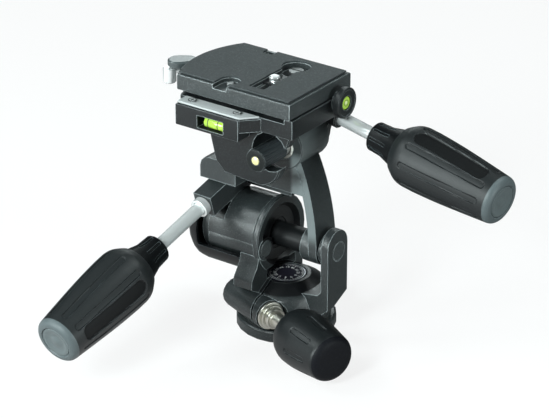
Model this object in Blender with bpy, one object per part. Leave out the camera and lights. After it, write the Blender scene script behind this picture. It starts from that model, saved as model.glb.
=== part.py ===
"""Three way pan tilt head for a photo tripod, as separate pieces on their real axes.

The origin is the middle of the base's underside, on the pan axis. +X is the side that
the side handle points to, -Y the side that the front tilt handle points to, +Z up.
"""
import math

import bmesh
import bpy
from mathutils import Matrix, Vector

# Clearances and small values that every piece shares
FIT = 0.0003
RUNNING_FIT = 0.0004
OVERRUN = 0.002
OVERLAP = 0.0006
FINE, MEDIUM, COARSE = 24, 16, 12
GRIP_STEPS = 20
BAR_ROUND_SHARE = 0.9

# Base, spindle and dial, on the pan axis
BASE_RADIUS = 0.030
BASE_HEIGHT = 0.0075
BASE_EDGE = 0.0010
HUB_RADIUS = 0.0150
HUB_TOP = 0.0286
HUB_BORE = 0.0052
BUSH_RADIUS = 0.0070
BUSH_BORE = 0.0049
BUSH_LENGTH = 0.0120
BUSH_SETBACK = 0.0005
SLIP_RADIUS = 0.0260
SLIP_THICKNESS = 0.0007
LINER_WALL = 0.0010
CIRCLIP_THICKNESS = 0.0011
CIRCLIP_DEPTH = 0.0011
CIRCLIP_LIP = 0.0022
CIRCLIP_GAP = 0.0060
DIAL_RADIUS = 0.0122
DIAL_THICKNESS = 0.0037
DIAL_EDGE = 0.0006
DIAL_STEM = 0.0046
DIAL_STEM_LENGTH = 0.0040

# Yoke: split housing, leg, barrel and ear
HOUSING_BORE = HUB_RADIUS + 2 * FIT + LINER_WALL
HOUSING_RADIUS = 0.0275
SHOULDER_RADIUS = 0.0227
SHOULDER_HEIGHT = 0.0280
RIM_WALL = 0.0022
RIM_HEIGHT = 0.0329
LINER_TOP = 0.0260
SLOT_WIDTH = 0.0015
SLOT_PLACE = -0.0010
NOTCH_ABOVE_DIAL = 0.0396
NOTCH_RADIUS = 0.0150
TILT_AXIS_HEIGHT = 0.0572
BARREL_RADIUS = 0.0220
BARREL_LEFT = -0.0415
FLANGE_RADIUS = 0.0242
FLANGE_FACE = -0.0039
FLANGE_THICKNESS = 0.0052
DISH_RADIUS = 0.0192
DISH_DEPTH = 0.0026
LEG_LEFT = -0.0172
LEG_FRONT = -0.0295
LEG_BACK = 0.0220
LEG_WAIST = -0.0240
LEG_WAIST_DROP = 0.0132
LEG_WAIST_HEIGHT = TILT_AXIS_HEIGHT - LEG_WAIST_DROP
LEG_FOOT_HEIGHT = 0.0310
LEG_ROOT_SHARE = 0.85
LEG_NECK_SHARE = 0.93
SLOT_REACH_SHARE = 1.6
STEP_RIGHT = -0.0312
STEP_RADIUS = 0.0202
STEP_FRONT_ANGLE = math.radians(24)
STEP_BACK_ANGLE = math.radians(200)
BOSS_Y = -0.0156
BOSS_DROP = 0.0038
BOSS_Z = TILT_AXIS_HEIGHT - BOSS_DROP
BOSS_RADIUS = 0.0074
PLUG_RADIUS = 0.0054
PLUG_LENGTH = 0.0060
PLUG_PROUD = 0.0004
AXLE_RADIUS = 0.0075
BEARING_WALL = 0.0016
BEARING_LENGTH = 0.0080
SPRING_BORE = 0.0130
EAR_FACE = 0.0374
EAR_THICKNESS = 0.0050
EAR_MIDDLE = -0.0010
EAR_HALF_WIDTH = 0.0100
EAR_RISE = 0.0138
EAR_TOP = TILT_AXIS_HEIGHT + EAR_RISE
EAR_BACK_CORNER = 0.0290
EAR_FOOT_Z = 0.0225
EAR_BOSS_RADIUS = 0.0098
EAR_BOSS_FACE = 0.0293
EAR_ROOT = 0.0140
EAR_CHAMFER_SHARE = 0.4
PIN_RADIUS = 0.0050
PIN_HEAD_RADIUS = 0.0058
PIN_HEAD_DEPTH = 0.0015

# Clamp screw of the pan lock, level and pointing to the right and forward
CLAMP_ANGLE = math.radians(-21)
CLAMP_HEIGHT = 0.0180
CLAMP_OFFSET = 0.0229
CLAMP_RADIUS = 0.0094
CLAMP_LEFT = -0.0220
CLAMP_RIGHT = 0.0165
CLAMP_ROUND = 0.0030
CLAMP_SCREW_RADIUS = 0.0039
CLAMP_BORE_DEPTH = -0.0195
INSERT_RADIUS = 0.0050
INSERT_LENGTH = 0.0110
WASHER_RADIUS = 0.0086
WASHER_THICKNESS = 0.0018
COLLAR_RADIUS = 0.0064
COLLAR_LENGTH = 0.0030
KNOB_INNER = 0.0430
KNOB_LENGTH = 0.0410
KNOB_RADIUS = 0.0172
KNOB_BACK_RADIUS = 0.0148
KNOB_TIP_RADIUS = 0.0146
KNOB_WALL = 0.0022
KNOB_GROOVES = 8
KNOB_GROOVE_WIDTH = 0.0030
KNOB_GROOVE_DEPTH = 0.0007
KNOB_GROOVE_LENGTH = 0.0170
KNOB_GROOVE_PLACE_SHARE = 0.56
KNOB_ROUND_SHARE = 0.13
SMALL_WASHER_SHARE = 0.86
KNOB_SHANK_RADIUS = CLAMP_SCREW_RADIUS * 1.15
INSERT_TIP_SHARE = 0.4

# Spring cover round the lower left of the barrel
COVER_RADIUS = 0.0266
COVER_WALL = 0.0020
COVER_LEFT = -0.0590
COVER_SHOULDER = -0.0480
COVER_SPLIT = -0.0470
COVER_CROWN_SHARE = 0.62
COVER_MOUTH_SHARE = 1.3
COVER_FRONT_ANGLE = math.radians(-22)
COVER_BACK_ANGLE = math.radians(-146)

# Tilt frame: cheek, block, arm, web and side barrel
SIDE_AXIS_X = 0.0045
SIDE_AXIS_RISE = 0.0628
SIDE_AXIS_HEIGHT = TILT_AXIS_HEIGHT + SIDE_AXIS_RISE
CHEEK_LEFT = -0.0465
CHEEK_RIGHT = -0.0418
CHEEK_RADIUS = 0.0205
CHEEK_HALF_WIDTH = 0.0140
SHELF_RISE = 0.0348
SHELF_BOTTOM = TILT_AXIS_HEIGHT + SHELF_RISE
SHELF_THICKNESS = 0.0136
SHELF_TOP = SHELF_BOTTOM + SHELF_THICKNESS
SHELF_ROUND = 0.0060
SHELF_RIGHT = -0.0200
SHELF_FRONT = -0.0235
SHELF_BACK = 0.0090
WEB_RISE = 0.0343
WEB_BOTTOM = TILT_AXIS_HEIGHT + WEB_RISE
WEB_FRONT = -0.0106
SKIRT_DEPTH = 0.0093
SKIRT_BOTTOM = WEB_BOTTOM - SKIRT_DEPTH
SKIRT_FRONT = 0.0020
SKIRT_RIGHT = 0.0020
WEB_THICKNESS = 0.0060
ARM_RADIUS = 0.1320
ARM_THICKNESS = 0.0056
ARM_OUTER_X = 0.0290
ARM_TOP_ANGLE = math.radians(26.5)
ARM_BOSS_RADIUS = 0.0108
ARM_BOSS_LEFT = 0.0170
ARM_TAPER = 0.0022
ARM_START_SHARE = 1.2
SIDE_BARREL_RADIUS = 0.0144
SIDE_BARREL_FRONT = -0.0112
SIDE_BARREL_BACK = 0.0186
SIDE_BARREL_ROUND = 0.0036
SIDE_AXLE_RADIUS = 0.0060
SIDE_SPRING_BORE = 0.0108

# Handles
HANDLE_SLOPE = math.radians(15.9)
HANDLE_TURN = math.radians(2.5)
SIDE_HANDLE_SLOPE = math.radians(8.6)
SIDE_HANDLE_TURN = math.radians(5)
TILT_HANDLE_X = -0.0367
TILT_HANDLE_RISE = 0.0297
TILT_HANDLE_Z = TILT_AXIS_HEIGHT + TILT_HANDLE_RISE
SIDE_HANDLE_Y = 0.0165
SIDE_HANDLE_RISE = 0.0190
SIDE_HANDLE_Z = SIDE_AXIS_HEIGHT + SIDE_HANDLE_RISE
BLOCK_SIDE = 0.0130
BLOCK_FRONT = 0.0315
BLOCK_BACK = -0.0060
ROD_RADIUS = 0.0040
ROD_TIP_CHAMFER = 0.0008
HANDLE_COLLAR_RADIUS = 0.0058
HANDLE_COLLAR_LENGTH = 0.0045
TILT_HANDLE_END = 0.1672
SIDE_HANDLE_END = 0.1466
GRIP_LENGTH = 0.0715
GRIP_RADIUS = 0.0184
GRIP_END_RADIUS = 0.0144
GRIP_SHOULDER_RADIUS = 0.0142
GRIP_WALL = 0.0024
NECK_LENGTH = 0.0205
NECK_RADIUS = 0.0088
NECK_FLARE_RADIUS = 0.0122
NECK_RIBS = 10
NECK_RIB_DEPTH = 0.0006
NECK_SWELL = 0.0093
NECK_SWELL_SHARE = 0.45
NECK_RIB_SHARES = (0.60, 0.38)
GRIP_ROUND_SHARE = 0.055
GRIP_MIDDLE_SHARE = 0.53
PANEL_MIDDLE_SHARE = 0.50
GRIP_SHARES = ((0, 0.772), (0.03, 0.849), (0.08, 0.955), (0.14, 1.0), (0.24, 1.0), (0.50, 0.945), (0.92, 0.795))
GRIP_GROOVES = 9
GRIP_GROOVE_WIDTH = 0.0038
GRIP_GROOVE_DEPTH = 0.0006
GRIP_GROOVE_LENGTH = 0.0560
GRIP_GROOVE_ANGLE = math.radians(27)
TILT_PANEL_TURN = math.radians(-80)
SIDE_PANEL_TURN = math.radians(17.5)
PANEL_LENGTH = 0.0500
PANEL_WIDTH = 0.0098
SHOE_LENGTH = 0.0110
SHOE_WIDTH = 0.0046

# Platform that receives the camera plate
PLATFORM_RISE = 0.0183
PLATFORM_BOTTOM = SIDE_AXIS_HEIGHT + PLATFORM_RISE
PLATFORM_THICKNESS = 0.0119
PLATFORM_TOP = PLATFORM_BOTTOM + PLATFORM_THICKNESS
PLATFORM_RIGHT = 0.0295
PLATFORM_FRONT = -0.0362
PLATFORM_BACK = 0.0230
PLATFORM_LEFT = -0.0563
PLATFORM_LEFT_CORNER = -0.0495
POCKET_DEPTH = 0.0028
POCKET_FLOOR = PLATFORM_TOP - POCKET_DEPTH
POCKET_RIGHT = 0.0240
POCKET_LEFT = -0.0380
POCKET_FRONT = -0.0300
POCKET_BACK = 0.0180
LUG_THICKNESS = 0.0072
LUG_BOSS_BACK = -0.0128
LUG_BOSS_DROP = 0.0082
LUG_FRONT = -0.0352
LUG_RADIUS = 0.0158
LUG_LEFT = -0.0290
LUG_RIM_START = math.radians(-100)
LUG_RIM_END = math.radians(24)
LUG_LEFT_SHARES = (0.88, 0.66)
LUG_RIGHT_SHARES = (0.86, 0.95)
SCOOP_RADIUS = 0.0120
SCOOP_X = 0.0130
SCOOP_RISE = 0.0070
SCOOP_Z = SIDE_AXIS_HEIGHT + SCOOP_RISE
REAR_LUG_FRONT = 0.0191
REAR_LUG_THICKNESS = 0.0045
REAR_LUG_RADIUS = 0.0100
ROD_BOSS_RADIUS = 0.0064
ROD_BOSS_END = 0.0293
LEVEL_LEFT = -0.0455
LEVEL_RIGHT = -0.0010
LEVEL_SLANT = 0.0090
LEVEL_FRONT = -0.0462
LEVEL_DROP = 0.0051
LEVEL_BOTTOM = PLATFORM_BOTTOM - LEVEL_DROP
LEVEL_HEIGHT = 0.0134
LEVEL_TOP = LEVEL_BOTTOM + LEVEL_HEIGHT
LEVEL_CHAMFER = 0.0022
LEVEL_COVER_THICKNESS = 0.0012
WINDOW_LEFT = -0.0300
WINDOW_RIGHT = -0.0115
WINDOW_RISE = 0.0020
WINDOW_BOTTOM = LEVEL_BOTTOM + WINDOW_RISE
WINDOW_HEIGHT = 0.0076
WINDOW_TOP = WINDOW_BOTTOM + WINDOW_HEIGHT
WINDOW_DEPTH = 0.0072
VIAL_RADIUS = 0.0032
VIAL_END_GAP = 0.0008
COVER_SCREW_RADIUS = 0.0021
COVER_SCREW_HEAD = 0.0006
END_LEVEL_FACE = 0.0371
END_LEVEL_Y = 0.0079
END_LEVEL_DROP = 0.0020
END_LEVEL_Z = PLATFORM_TOP - END_LEVEL_DROP
END_LEVEL_RADIUS = 0.0093
END_LEVEL_THICKNESS = 0.0047
END_LEVEL_STEM = 0.0060
END_WINDOW_RADIUS = 0.0040
END_WINDOW_DEPTH = 0.0026
END_LEVEL_RIM = 0.0080

# Spring selector knob
SELECTOR_RADIUS = 0.0067
SELECTOR_FACE = -0.0372
SELECTOR_STEM = 0.0030
SELECTOR_STEM_LENGTH = 0.0060
DOT_RADIUS = 0.0026
DOT_DEPTH = 0.0012

# Camera plate with its pad and screws
PLATE_BOTTOM = PLATFORM_TOP + FIT
PLATE_THICKNESS = 0.0097
PLATE_PAD_SEAT = PLATE_BOTTOM + PLATE_THICKNESS
PAD_THICKNESS = 0.0013
HEIGHT = PLATE_PAD_SEAT + PAD_THICKNESS
PLATE_RIGHT = 0.0284
PLATE_FRONT = -0.0373
PLATE_BACK = 0.0233
PLATE_FRONT_CORNER = -0.0510
PLATE_BACK_CORNER = -0.0470
PLATE_BULGE = 0.0088
PLATE_EDGE = 0.0008
PAD_INSET = 0.0018
TONGUE_DEPTH = 0.0030
SLOT_FRONT = -0.0270
SLOT_BACK = -0.0030
SLOT_HALF_WIDTH = 0.0034
SLOT_X = -0.0005
PAD_SLOT_HALF_WIDTH = 0.0052
WELL_Y = 0.0100
WELL_RADIUS = 0.0088
WELL_DEPTH = 0.0041
WELL_FLOOR = PLATE_PAD_SEAT - WELL_DEPTH
STORED_SCREW_RADIUS = 0.0047
STORED_SCREW_HEAD = 0.0026
STORED_SHANK_RADIUS = 0.0034
DRIVER_SLOT_WIDTH = 0.0014
DRIVER_SLOT_DEPTH = 0.0012
KEY_X = -0.0190
KEY_Y = -0.0290
KEY_RADIUS = 0.0064
KEY_DEPTH = 0.0026
KEY_FLOOR = PLATE_PAD_SEAT - KEY_DEPTH
KEY_PIN_RADIUS = 0.0022
KEY_PIN_HEIGHT = 0.0018
BACK_NOTCH_X = -0.0255
BACK_NOTCH_HALF_WIDTH = 0.0036
BACK_NOTCH_DEPTH = 0.0058
STUD_RADIUS = 0.00315
STUD_Y = -0.0113
STUD_PROUD = 0.0012
SLIDER_LENGTH = 0.0095
SLIDER_THICKNESS = 0.0012
LEDGE_DEPTH = 0.0024
SLIDER_LEDGE = PLATE_PAD_SEAT - LEDGE_DEPTH
SLIDER_BORE = 0.0036
STUD_HEAD_RADIUS = 0.0060
STUD_HEAD_THICKNESS = 0.0020

# Lock lever and safety catch at the platform's left end
LEVER_PIVOT_X = -0.0460
LEVER_PIVOT_Y = 0.0165
LEVER_RISE = 0.0069
LEVER_BOTTOM = PLATFORM_BOTTOM + LEVER_RISE
LEVER_DROP = 0.0001
LEVER_TOP = PLATFORM_TOP - LEVER_DROP
LEVER_PAD_RISE = 0.0049
LEVER_PAD_TOP = LEVER_TOP + LEVER_PAD_RISE
LEVER_TIP_X = -0.0680
LEVER_TIP_Y = -0.0042
LEVER_TIP_RADIUS = 0.0052
LEVER_PAD_X = -0.0724
LEVER_PAD_Y = -0.0086
LEVER_PAD_RADIUS = 0.0062
LEVER_HUB_RADIUS = 0.0066
LEVER_PIN_RADIUS = 0.0022
CATCH_RADIUS = 0.0040
CATCH_DROP = 0.0004
CATCH_TOP = PLATFORM_TOP - CATCH_DROP
CATCH_RISE = 0.0022
CATCH_BOTTOM = PLATFORM_BOTTOM + CATCH_RISE
CATCH_STEM_RADIUS = 0.0017
CATCH_STEM_LENGTH = 0.0080
CATCH_TRAVEL = 0.0018

# Levels and radii that several pieces meet at
HOUSING_FOOT = BASE_HEIGHT + 2 * FIT + SLIP_THICKNESS
DIAL_BOTTOM = HUB_TOP + FIT
DIAL_BORE = DIAL_RADIUS + RUNNING_FIT
CIRCLIP_BOTTOM = LINER_TOP + FIT
CIRCLIP_RADIUS = HUB_RADIUS + CIRCLIP_LIP
BEARING_RADIUS = AXLE_RADIUS + RUNNING_FIT + BEARING_WALL
SIDE_BEARING_RADIUS = SIDE_AXLE_RADIUS + RUNNING_FIT + BEARING_WALL
DISH_FLOOR = FLANGE_FACE - DISH_DEPTH
ARM_BUSH_WALL = 0.0012
ARM_BUSH_RADIUS = PIN_RADIUS + RUNNING_FIT + ARM_BUSH_WALL
AXLE_RIGHT = 0.0216
PIN_LEFT = AXLE_RIGHT + 2 * FIT
ARM_CENTRE_X = ARM_OUTER_X - ARM_RADIUS
SELECTOR_SEAT = -0.0150
TONGUE_BOTTOM = PLATE_BOTTOM - TONGUE_DEPTH
KNOB_SHARES = ((0, 0.860), (0.05, 0.920), (0.14, 0.985), (0.25, 1.000), (0.42, 0.985))
HOUSING_SHARES = ((0, 0.975), (0.18, 1.0), (0.58, 0.985), (0.90, 0.900))

CLAMP_DIRECTION = Vector((math.cos(CLAMP_ANGLE), math.sin(CLAMP_ANGLE), 0))
CLAMP_MIDDLE = Vector((CLAMP_OFFSET * math.sin(CLAMP_ANGLE), -CLAMP_OFFSET * math.cos(CLAMP_ANGLE),
                       CLAMP_HEIGHT))
TILT_DIRECTION = Vector((-math.cos(HANDLE_SLOPE) * math.sin(HANDLE_TURN),
                         -math.cos(HANDLE_SLOPE) * math.cos(HANDLE_TURN), -math.sin(HANDLE_SLOPE)))
SIDE_DIRECTION = Vector((math.cos(SIDE_HANDLE_SLOPE) * math.cos(SIDE_HANDLE_TURN),
                         -math.cos(SIDE_HANDLE_SLOPE) * math.sin(SIDE_HANDLE_TURN),
                         -math.sin(SIDE_HANDLE_SLOPE)))
TILT_ORIGIN = Vector((0, 0, TILT_AXIS_HEIGHT))
SIDE_ORIGIN = Vector((SIDE_AXIS_X, 0, SIDE_AXIS_HEIGHT))
TILT_HANDLE_ORIGIN = Vector((TILT_HANDLE_X, 0, TILT_HANDLE_Z))
SIDE_HANDLE_ORIGIN = Vector((0, SIDE_HANDLE_Y, SIDE_HANDLE_Z))

X_AXIS = Vector((1, 0, 0))
Y_AXIS = Vector((0, 1, 0))
Z_AXIS = Vector((0, 0, 1))
SMOOTH_ANGLE = math.radians(32)
QUARTER = math.radians(90)
TURN = math.radians(360)

# Colour, roughness and metallic value of each finish
FINISHES = {
    "casting": ((0.030, 0.032, 0.035), 0.46, 0.30),
    "cover": ((0.035, 0.037, 0.041), 0.52, 0.0),
    "grip": ((0.050, 0.054, 0.058), 0.62, 0.0),
    "pad": ((0.070, 0.074, 0.078), 0.85, 0.0),
    "chrome": ((0.780, 0.780, 0.770), 0.16, 1.0),
    "nickel": ((0.720, 0.690, 0.600), 0.26, 1.0),
    "steel": ((0.550, 0.550, 0.560), 0.35, 1.0),
    "brass": ((0.800, 0.640, 0.300), 0.30, 1.0),
    "level_cover": ((0.350, 0.360, 0.370), 0.35, 0.30),
    "vial": ((0.620, 0.800, 0.180), 0.10, 0.0),
    "liner": ((0.700, 0.690, 0.640), 0.50, 0.0),
    "dial": ((0.045, 0.045, 0.060), 0.42, 0.0),
}

# Castings whose many touching faces leave open edges with the exact solver
TANGLED_CASTINGS = ("yoke_casting", "tilt_frame", "platform", "camera_plate")

FRAMES = {}


def clear_scene():
    """Empty the file, whatever it held."""
    for item in list(bpy.data.objects):
        bpy.data.objects.remove(item, do_unlink=True)


def make_material(name, finish):
    """The piece's own plain material."""
    colour, roughness, metallic = FINISHES[finish]
    made = bpy.data.materials.new(name + "_finish")
    made.use_nodes = True
    shader = made.node_tree.nodes["Principled BSDF"]
    shader.inputs["Base Color"].default_value = (*colour, 1)
    shader.inputs["Roughness"].default_value = roughness
    shader.inputs["Metallic"].default_value = metallic
    return made


def add_body(name, origin, parent=None):
    """An empty on the joint's axis, which carries the pieces that move together."""
    empty = bpy.data.objects.new(name, None)
    bpy.context.scene.collection.objects.link(empty)
    FRAMES[name] = Matrix.Translation(origin)
    if parent is not None:
        empty.parent = parent
        empty.matrix_parent_inverse = FRAMES[parent.name].inverted()
    empty.matrix_basis = FRAMES[name]
    return empty


def along(origin, direction, side=Z_AXIS):
    """A frame at origin with its Z along direction and its X leaning to side."""
    z = direction.normalized()
    x = (side - z * side.dot(z)).normalized()
    y = z.cross(x)
    frame = Matrix((x, y, z)).transposed().to_4x4()
    frame.translation = origin
    return frame


def finish_mesh(name, shape):
    """Turn the shape into a mesh with its faces pointing out."""
    bmesh.ops.recalc_face_normals(shape, faces=shape.faces)
    mesh = bpy.data.meshes.new(name)
    shape.to_mesh(mesh)
    shape.free()
    mesh.shade_smooth()
    mesh.set_sharp_from_angle(angle=SMOOTH_ANGLE)
    return mesh


def add_piece(name, shape, body, finish, frame=None):
    """Add a piece to its body; without a frame the shape is in the object's own coordinates."""
    home = FRAMES[body.name]
    if frame is None:
        shape.transform(home.inverted())
        frame = home
    piece = bpy.data.objects.new(name, finish_mesh(name, shape))
    piece.data.materials.append(make_material(name, finish))
    bpy.context.scene.collection.objects.link(piece)
    piece.parent = body
    piece.matrix_parent_inverse = home.inverted()
    piece.matrix_basis = frame
    return piece


def add_tool(name, shape, frame=None):
    """A hidden solid that a piece is cut by or joined with."""
    tool = bpy.data.objects.new(name, finish_mesh(name, shape))
    bpy.context.scene.collection.objects.link(tool)
    tool.matrix_basis = frame if frame is not None else Matrix()
    tool.hide_render = True
    tool.display_type = "WIRE"
    return tool


def combine(piece, tool, operation):
    """Boolean the piece with the tool."""
    step = piece.modifiers.new(tool.name, "BOOLEAN")
    step.operation = operation
    step.solver = "MANIFOLD" if piece.name in TANGLED_CASTINGS else "EXACT"
    step.object = tool


def cut(piece, name, shape, frame=None):
    """Take the shape away from the piece."""
    combine(piece, add_tool(name, shape, frame), "DIFFERENCE")


def fuse(piece, name, shape, frame=None):
    """Cast the shape in one with the piece."""
    combine(piece, add_tool(name, shape, frame), "UNION")


def turned(profile, steps=FINE, closed=False):
    """Revolve (radius, height) points about Z; points on the axis become poles."""
    shape = bmesh.new()
    rings = []
    for radius, height in profile:
        if radius == 0:
            rings.append([shape.verts.new((0, 0, height))])
            continue
        angles = [TURN * step / steps for step in range(steps)]
        rings.append([shape.verts.new((radius * math.cos(a), radius * math.sin(a), height))
                      for a in angles])
    pairs = list(zip(rings, rings[1:]))
    if closed:
        pairs.append((rings[-1], rings[0]))
    for low, high in pairs:
        for step in range(steps):
            after = (step + 1) % steps
            corners = [low[step % len(low)], low[after % len(low)],
                       high[after % len(high)], high[step % len(high)]]
            corners = [c for i, c in enumerate(corners) if c not in corners[:i]]
            if len(corners) > 2:
                shape.faces.new(corners)
    return shape


def tube(inner, outer, low, high, steps=MEDIUM):
    """A plain ring about Z."""
    return turned([(inner, low), (outer, low), (outer, high), (inner, high)], steps, closed=True)


def cylinder(radius, low, high, steps=FINE, low_edge=0, high_edge=0):
    """A plain round bar about Z, with chamfered ends where they are asked for."""
    profile = [(0, low), (radius - low_edge, low)]
    if low_edge:
        profile.append((radius, low + low_edge))
    profile.append((radius, high - high_edge))
    if high_edge:
        profile.append((radius - high_edge, high))
    profile.append((0, high))
    return turned(profile, steps)


def prism(outline, low, high, axis="Z"):
    """Extrude an outline of two world coordinates along the third axis."""
    place = {"X": lambda a, b, c: (c, a, b), "Y": lambda a, b, c: (a, c, b), "Z": lambda a, b, c: (a, b, c)}
    shape = bmesh.new()
    bottom = [shape.verts.new(place[axis](a, b, low)) for a, b in outline]
    face = shape.faces.new(bottom)
    grown = bmesh.ops.extrude_face_region(shape, geom=[face])
    moved = [item for item in grown["geom"] if isinstance(item, bmesh.types.BMVert)]
    bmesh.ops.translate(shape, verts=moved, vec=Vector(place[axis](0, 0, high - low)))
    return shape


def box(low, high):
    """A box between two corners."""
    return prism([(low[0], low[1]), (high[0], low[1]), (high[0], high[1]), (low[0], high[1])],
                 low[2], high[2])


def arc(centre, radius, start, end, steps):
    """Points on an arc, from the start angle to the end angle."""
    angles = [start + (end - start) * step / steps for step in range(steps + 1)]
    return [(centre[0] + radius * math.cos(a), centre[1] + radius * math.sin(a)) for a in angles]


def rounded(corners, radii, steps=3):
    """The outline through the corners, each turned in an arc of its radius."""
    count = len(corners)
    if not isinstance(radii, (list, tuple)):
        radii = [radii] * count
    outline = []
    for index, radius in enumerate(radii):
        corner = Vector(corners[index])
        before = (Vector(corners[index - 1]) - corner)
        after = (Vector(corners[(index + 1) % count]) - corner)
        half = before.angle(after) / 2
        reach = min(radius / math.tan(half), before.length / 2, after.length / 2)
        if reach <= 0:
            outline.append(tuple(corner))
            continue
        turn = reach * math.tan(half)
        middle = corner + (before.normalized() + after.normalized()).normalized() * turn / math.sin(half)
        first = corner + before.normalized() * reach - middle
        last = corner + after.normalized() * reach - middle
        sweep = first.angle_signed(last)
        for step in range(steps + 1):
            spoke = first.copy()
            spoke.rotate(Matrix.Rotation(-sweep * step / steps, 2))
            outline.append(tuple(middle + spoke))
    return outline


def soften(shape, width, steps=2, axis=2):
    """Bevel the shape's edges that lie in its two end faces."""
    edges = [edge for edge in shape.edges
             if abs(edge.verts[0].co[axis] - edge.verts[1].co[axis]) < FIT / 10]
    bmesh.ops.bevel(shape, geom=edges, offset=width, segments=steps, affect="EDGES",
                    profile=0.5, clamp_overlap=True)
    return shape


def quarter_round(radius, height, round_size, steps=3, upward=True):
    """Profile points of a rounded outer edge that ends at the height."""
    points = []
    for step in range(steps + 1):
        angle = QUARTER * step / steps
        if upward:
            points.append((radius - round_size * (1 - math.cos(angle)),
                           height - round_size * (1 - math.sin(angle))))
        else:
            points.append((radius - round_size * (1 - math.sin(angle)),
                           height + round_size * (1 - math.cos(angle))))
    return points


def tilt_angle_points(radius, start, end, steps):
    """Points (y, z) round the tilt axis; the angle runs from the front up over the top."""
    angles = [start + (end - start) * step / steps for step in range(steps + 1)]
    return [(-radius * math.cos(a), TILT_AXIS_HEIGHT + radius * math.sin(a)) for a in angles]


def link_outline(first, first_radius, last, last_radius, steps=8):
    """Two round ends joined by their outer tangents."""
    first, last = Vector(first), Vector(last)
    way = last - first
    heading = math.atan2(way.y, way.x)
    lean = math.acos((first_radius - last_radius) / way.length)
    return (arc(last, last_radius, heading - lean, heading + lean, steps)
            + arc(first, first_radius, heading + lean, heading + TURN - lean, steps))


def coil(radius, wire, low, high, turns=4, steps=10, sides=4):
    """A spring's unbroken wire about Z, with closed ends."""
    shape = bmesh.new()
    count = turns * steps
    rings = []
    for index in range(count + 1):
        angle = TURN * index / steps
        height = low + wire + (high - low - 2 * wire) * index / count
        outward = Vector((math.cos(angle), math.sin(angle), 0))
        middle = outward * radius + Z_AXIS * height
        rings.append([shape.verts.new(middle + outward * wire * math.cos(TURN * side / sides)
                                      + Z_AXIS * wire * math.sin(TURN * side / sides))
                      for side in range(sides)])
    for one, other in zip(rings, rings[1:]):
        for side in range(sides):
            after = (side + 1) % sides
            shape.faces.new((one[side], one[after], other[after], other[side]))
    shape.faces.new(rings[0])
    shape.faces.new(rings[-1])
    return shape


def x_frame(origin=TILT_ORIGIN):
    """A frame whose Z runs along the object's X."""
    return along(Vector((0, origin.y, origin.z)), X_AXIS)


def y_frame(origin=SIDE_ORIGIN):
    """A frame whose Z runs along the object's Y."""
    return along(Vector((origin.x, 0, origin.z)), Y_AXIS)


def make_base(base):
    """Base disc with its hub, threaded bush, slip washer, circlip and dial."""
    bush_top = BUSH_SETBACK + BUSH_LENGTH + FIT
    groove = HUB_RADIUS - CIRCLIP_DEPTH
    disc = turned([
        (BUSH_RADIUS + FIT, 0), (BASE_RADIUS - BASE_EDGE, 0), (BASE_RADIUS, BASE_EDGE),
        (BASE_RADIUS, BASE_HEIGHT - BASE_EDGE), (BASE_RADIUS - BASE_EDGE, BASE_HEIGHT),
        (HUB_RADIUS, BASE_HEIGHT), (HUB_RADIUS, CIRCLIP_BOTTOM - FIT), (groove, CIRCLIP_BOTTOM - FIT),
        (groove, CIRCLIP_BOTTOM + CIRCLIP_THICKNESS + FIT),
        (HUB_RADIUS, CIRCLIP_BOTTOM + CIRCLIP_THICKNESS + FIT),
        (HUB_RADIUS, HUB_TOP), (HUB_BORE, HUB_TOP), (HUB_BORE, bush_top), (BUSH_RADIUS + FIT, bush_top)],
        closed=True)
    add_piece("base_disc", disc, base, "casting")
    bush = tube(BUSH_BORE, BUSH_RADIUS, BUSH_SETBACK, BUSH_SETBACK + BUSH_LENGTH, MEDIUM)
    add_piece("thread_bush", bush, base, "steel")
    washer = tube(HUB_RADIUS + FIT, SLIP_RADIUS, BASE_HEIGHT + FIT, BASE_HEIGHT + FIT + SLIP_THICKNESS)
    add_piece("slip_washer", washer, base, "liner")
    circlip = add_piece("hub_circlip", tube(groove + FIT, CIRCLIP_RADIUS, CIRCLIP_BOTTOM,
                                            CIRCLIP_BOTTOM + CIRCLIP_THICKNESS, MEDIUM), base, "steel")
    cut(circlip, "circlip_mouth", box((0, -CIRCLIP_GAP / 2, CIRCLIP_BOTTOM - OVERRUN),
                                      (HUB_RADIUS + OVERRUN + CIRCLIP_LIP, CIRCLIP_GAP / 2,
                                       CIRCLIP_BOTTOM + CIRCLIP_THICKNESS + OVERRUN)))
    dial_top = DIAL_BOTTOM + DIAL_THICKNESS
    dial = turned([(0, DIAL_BOTTOM - DIAL_STEM_LENGTH), (DIAL_STEM, DIAL_BOTTOM - DIAL_STEM_LENGTH),
                   (DIAL_STEM, DIAL_BOTTOM), (DIAL_RADIUS, DIAL_BOTTOM), (DIAL_RADIUS, dial_top - DIAL_EDGE),
                   (DIAL_RADIUS - DIAL_EDGE, dial_top), (0, dial_top)])
    add_piece("pan_dial", dial, base, "dial")


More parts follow.
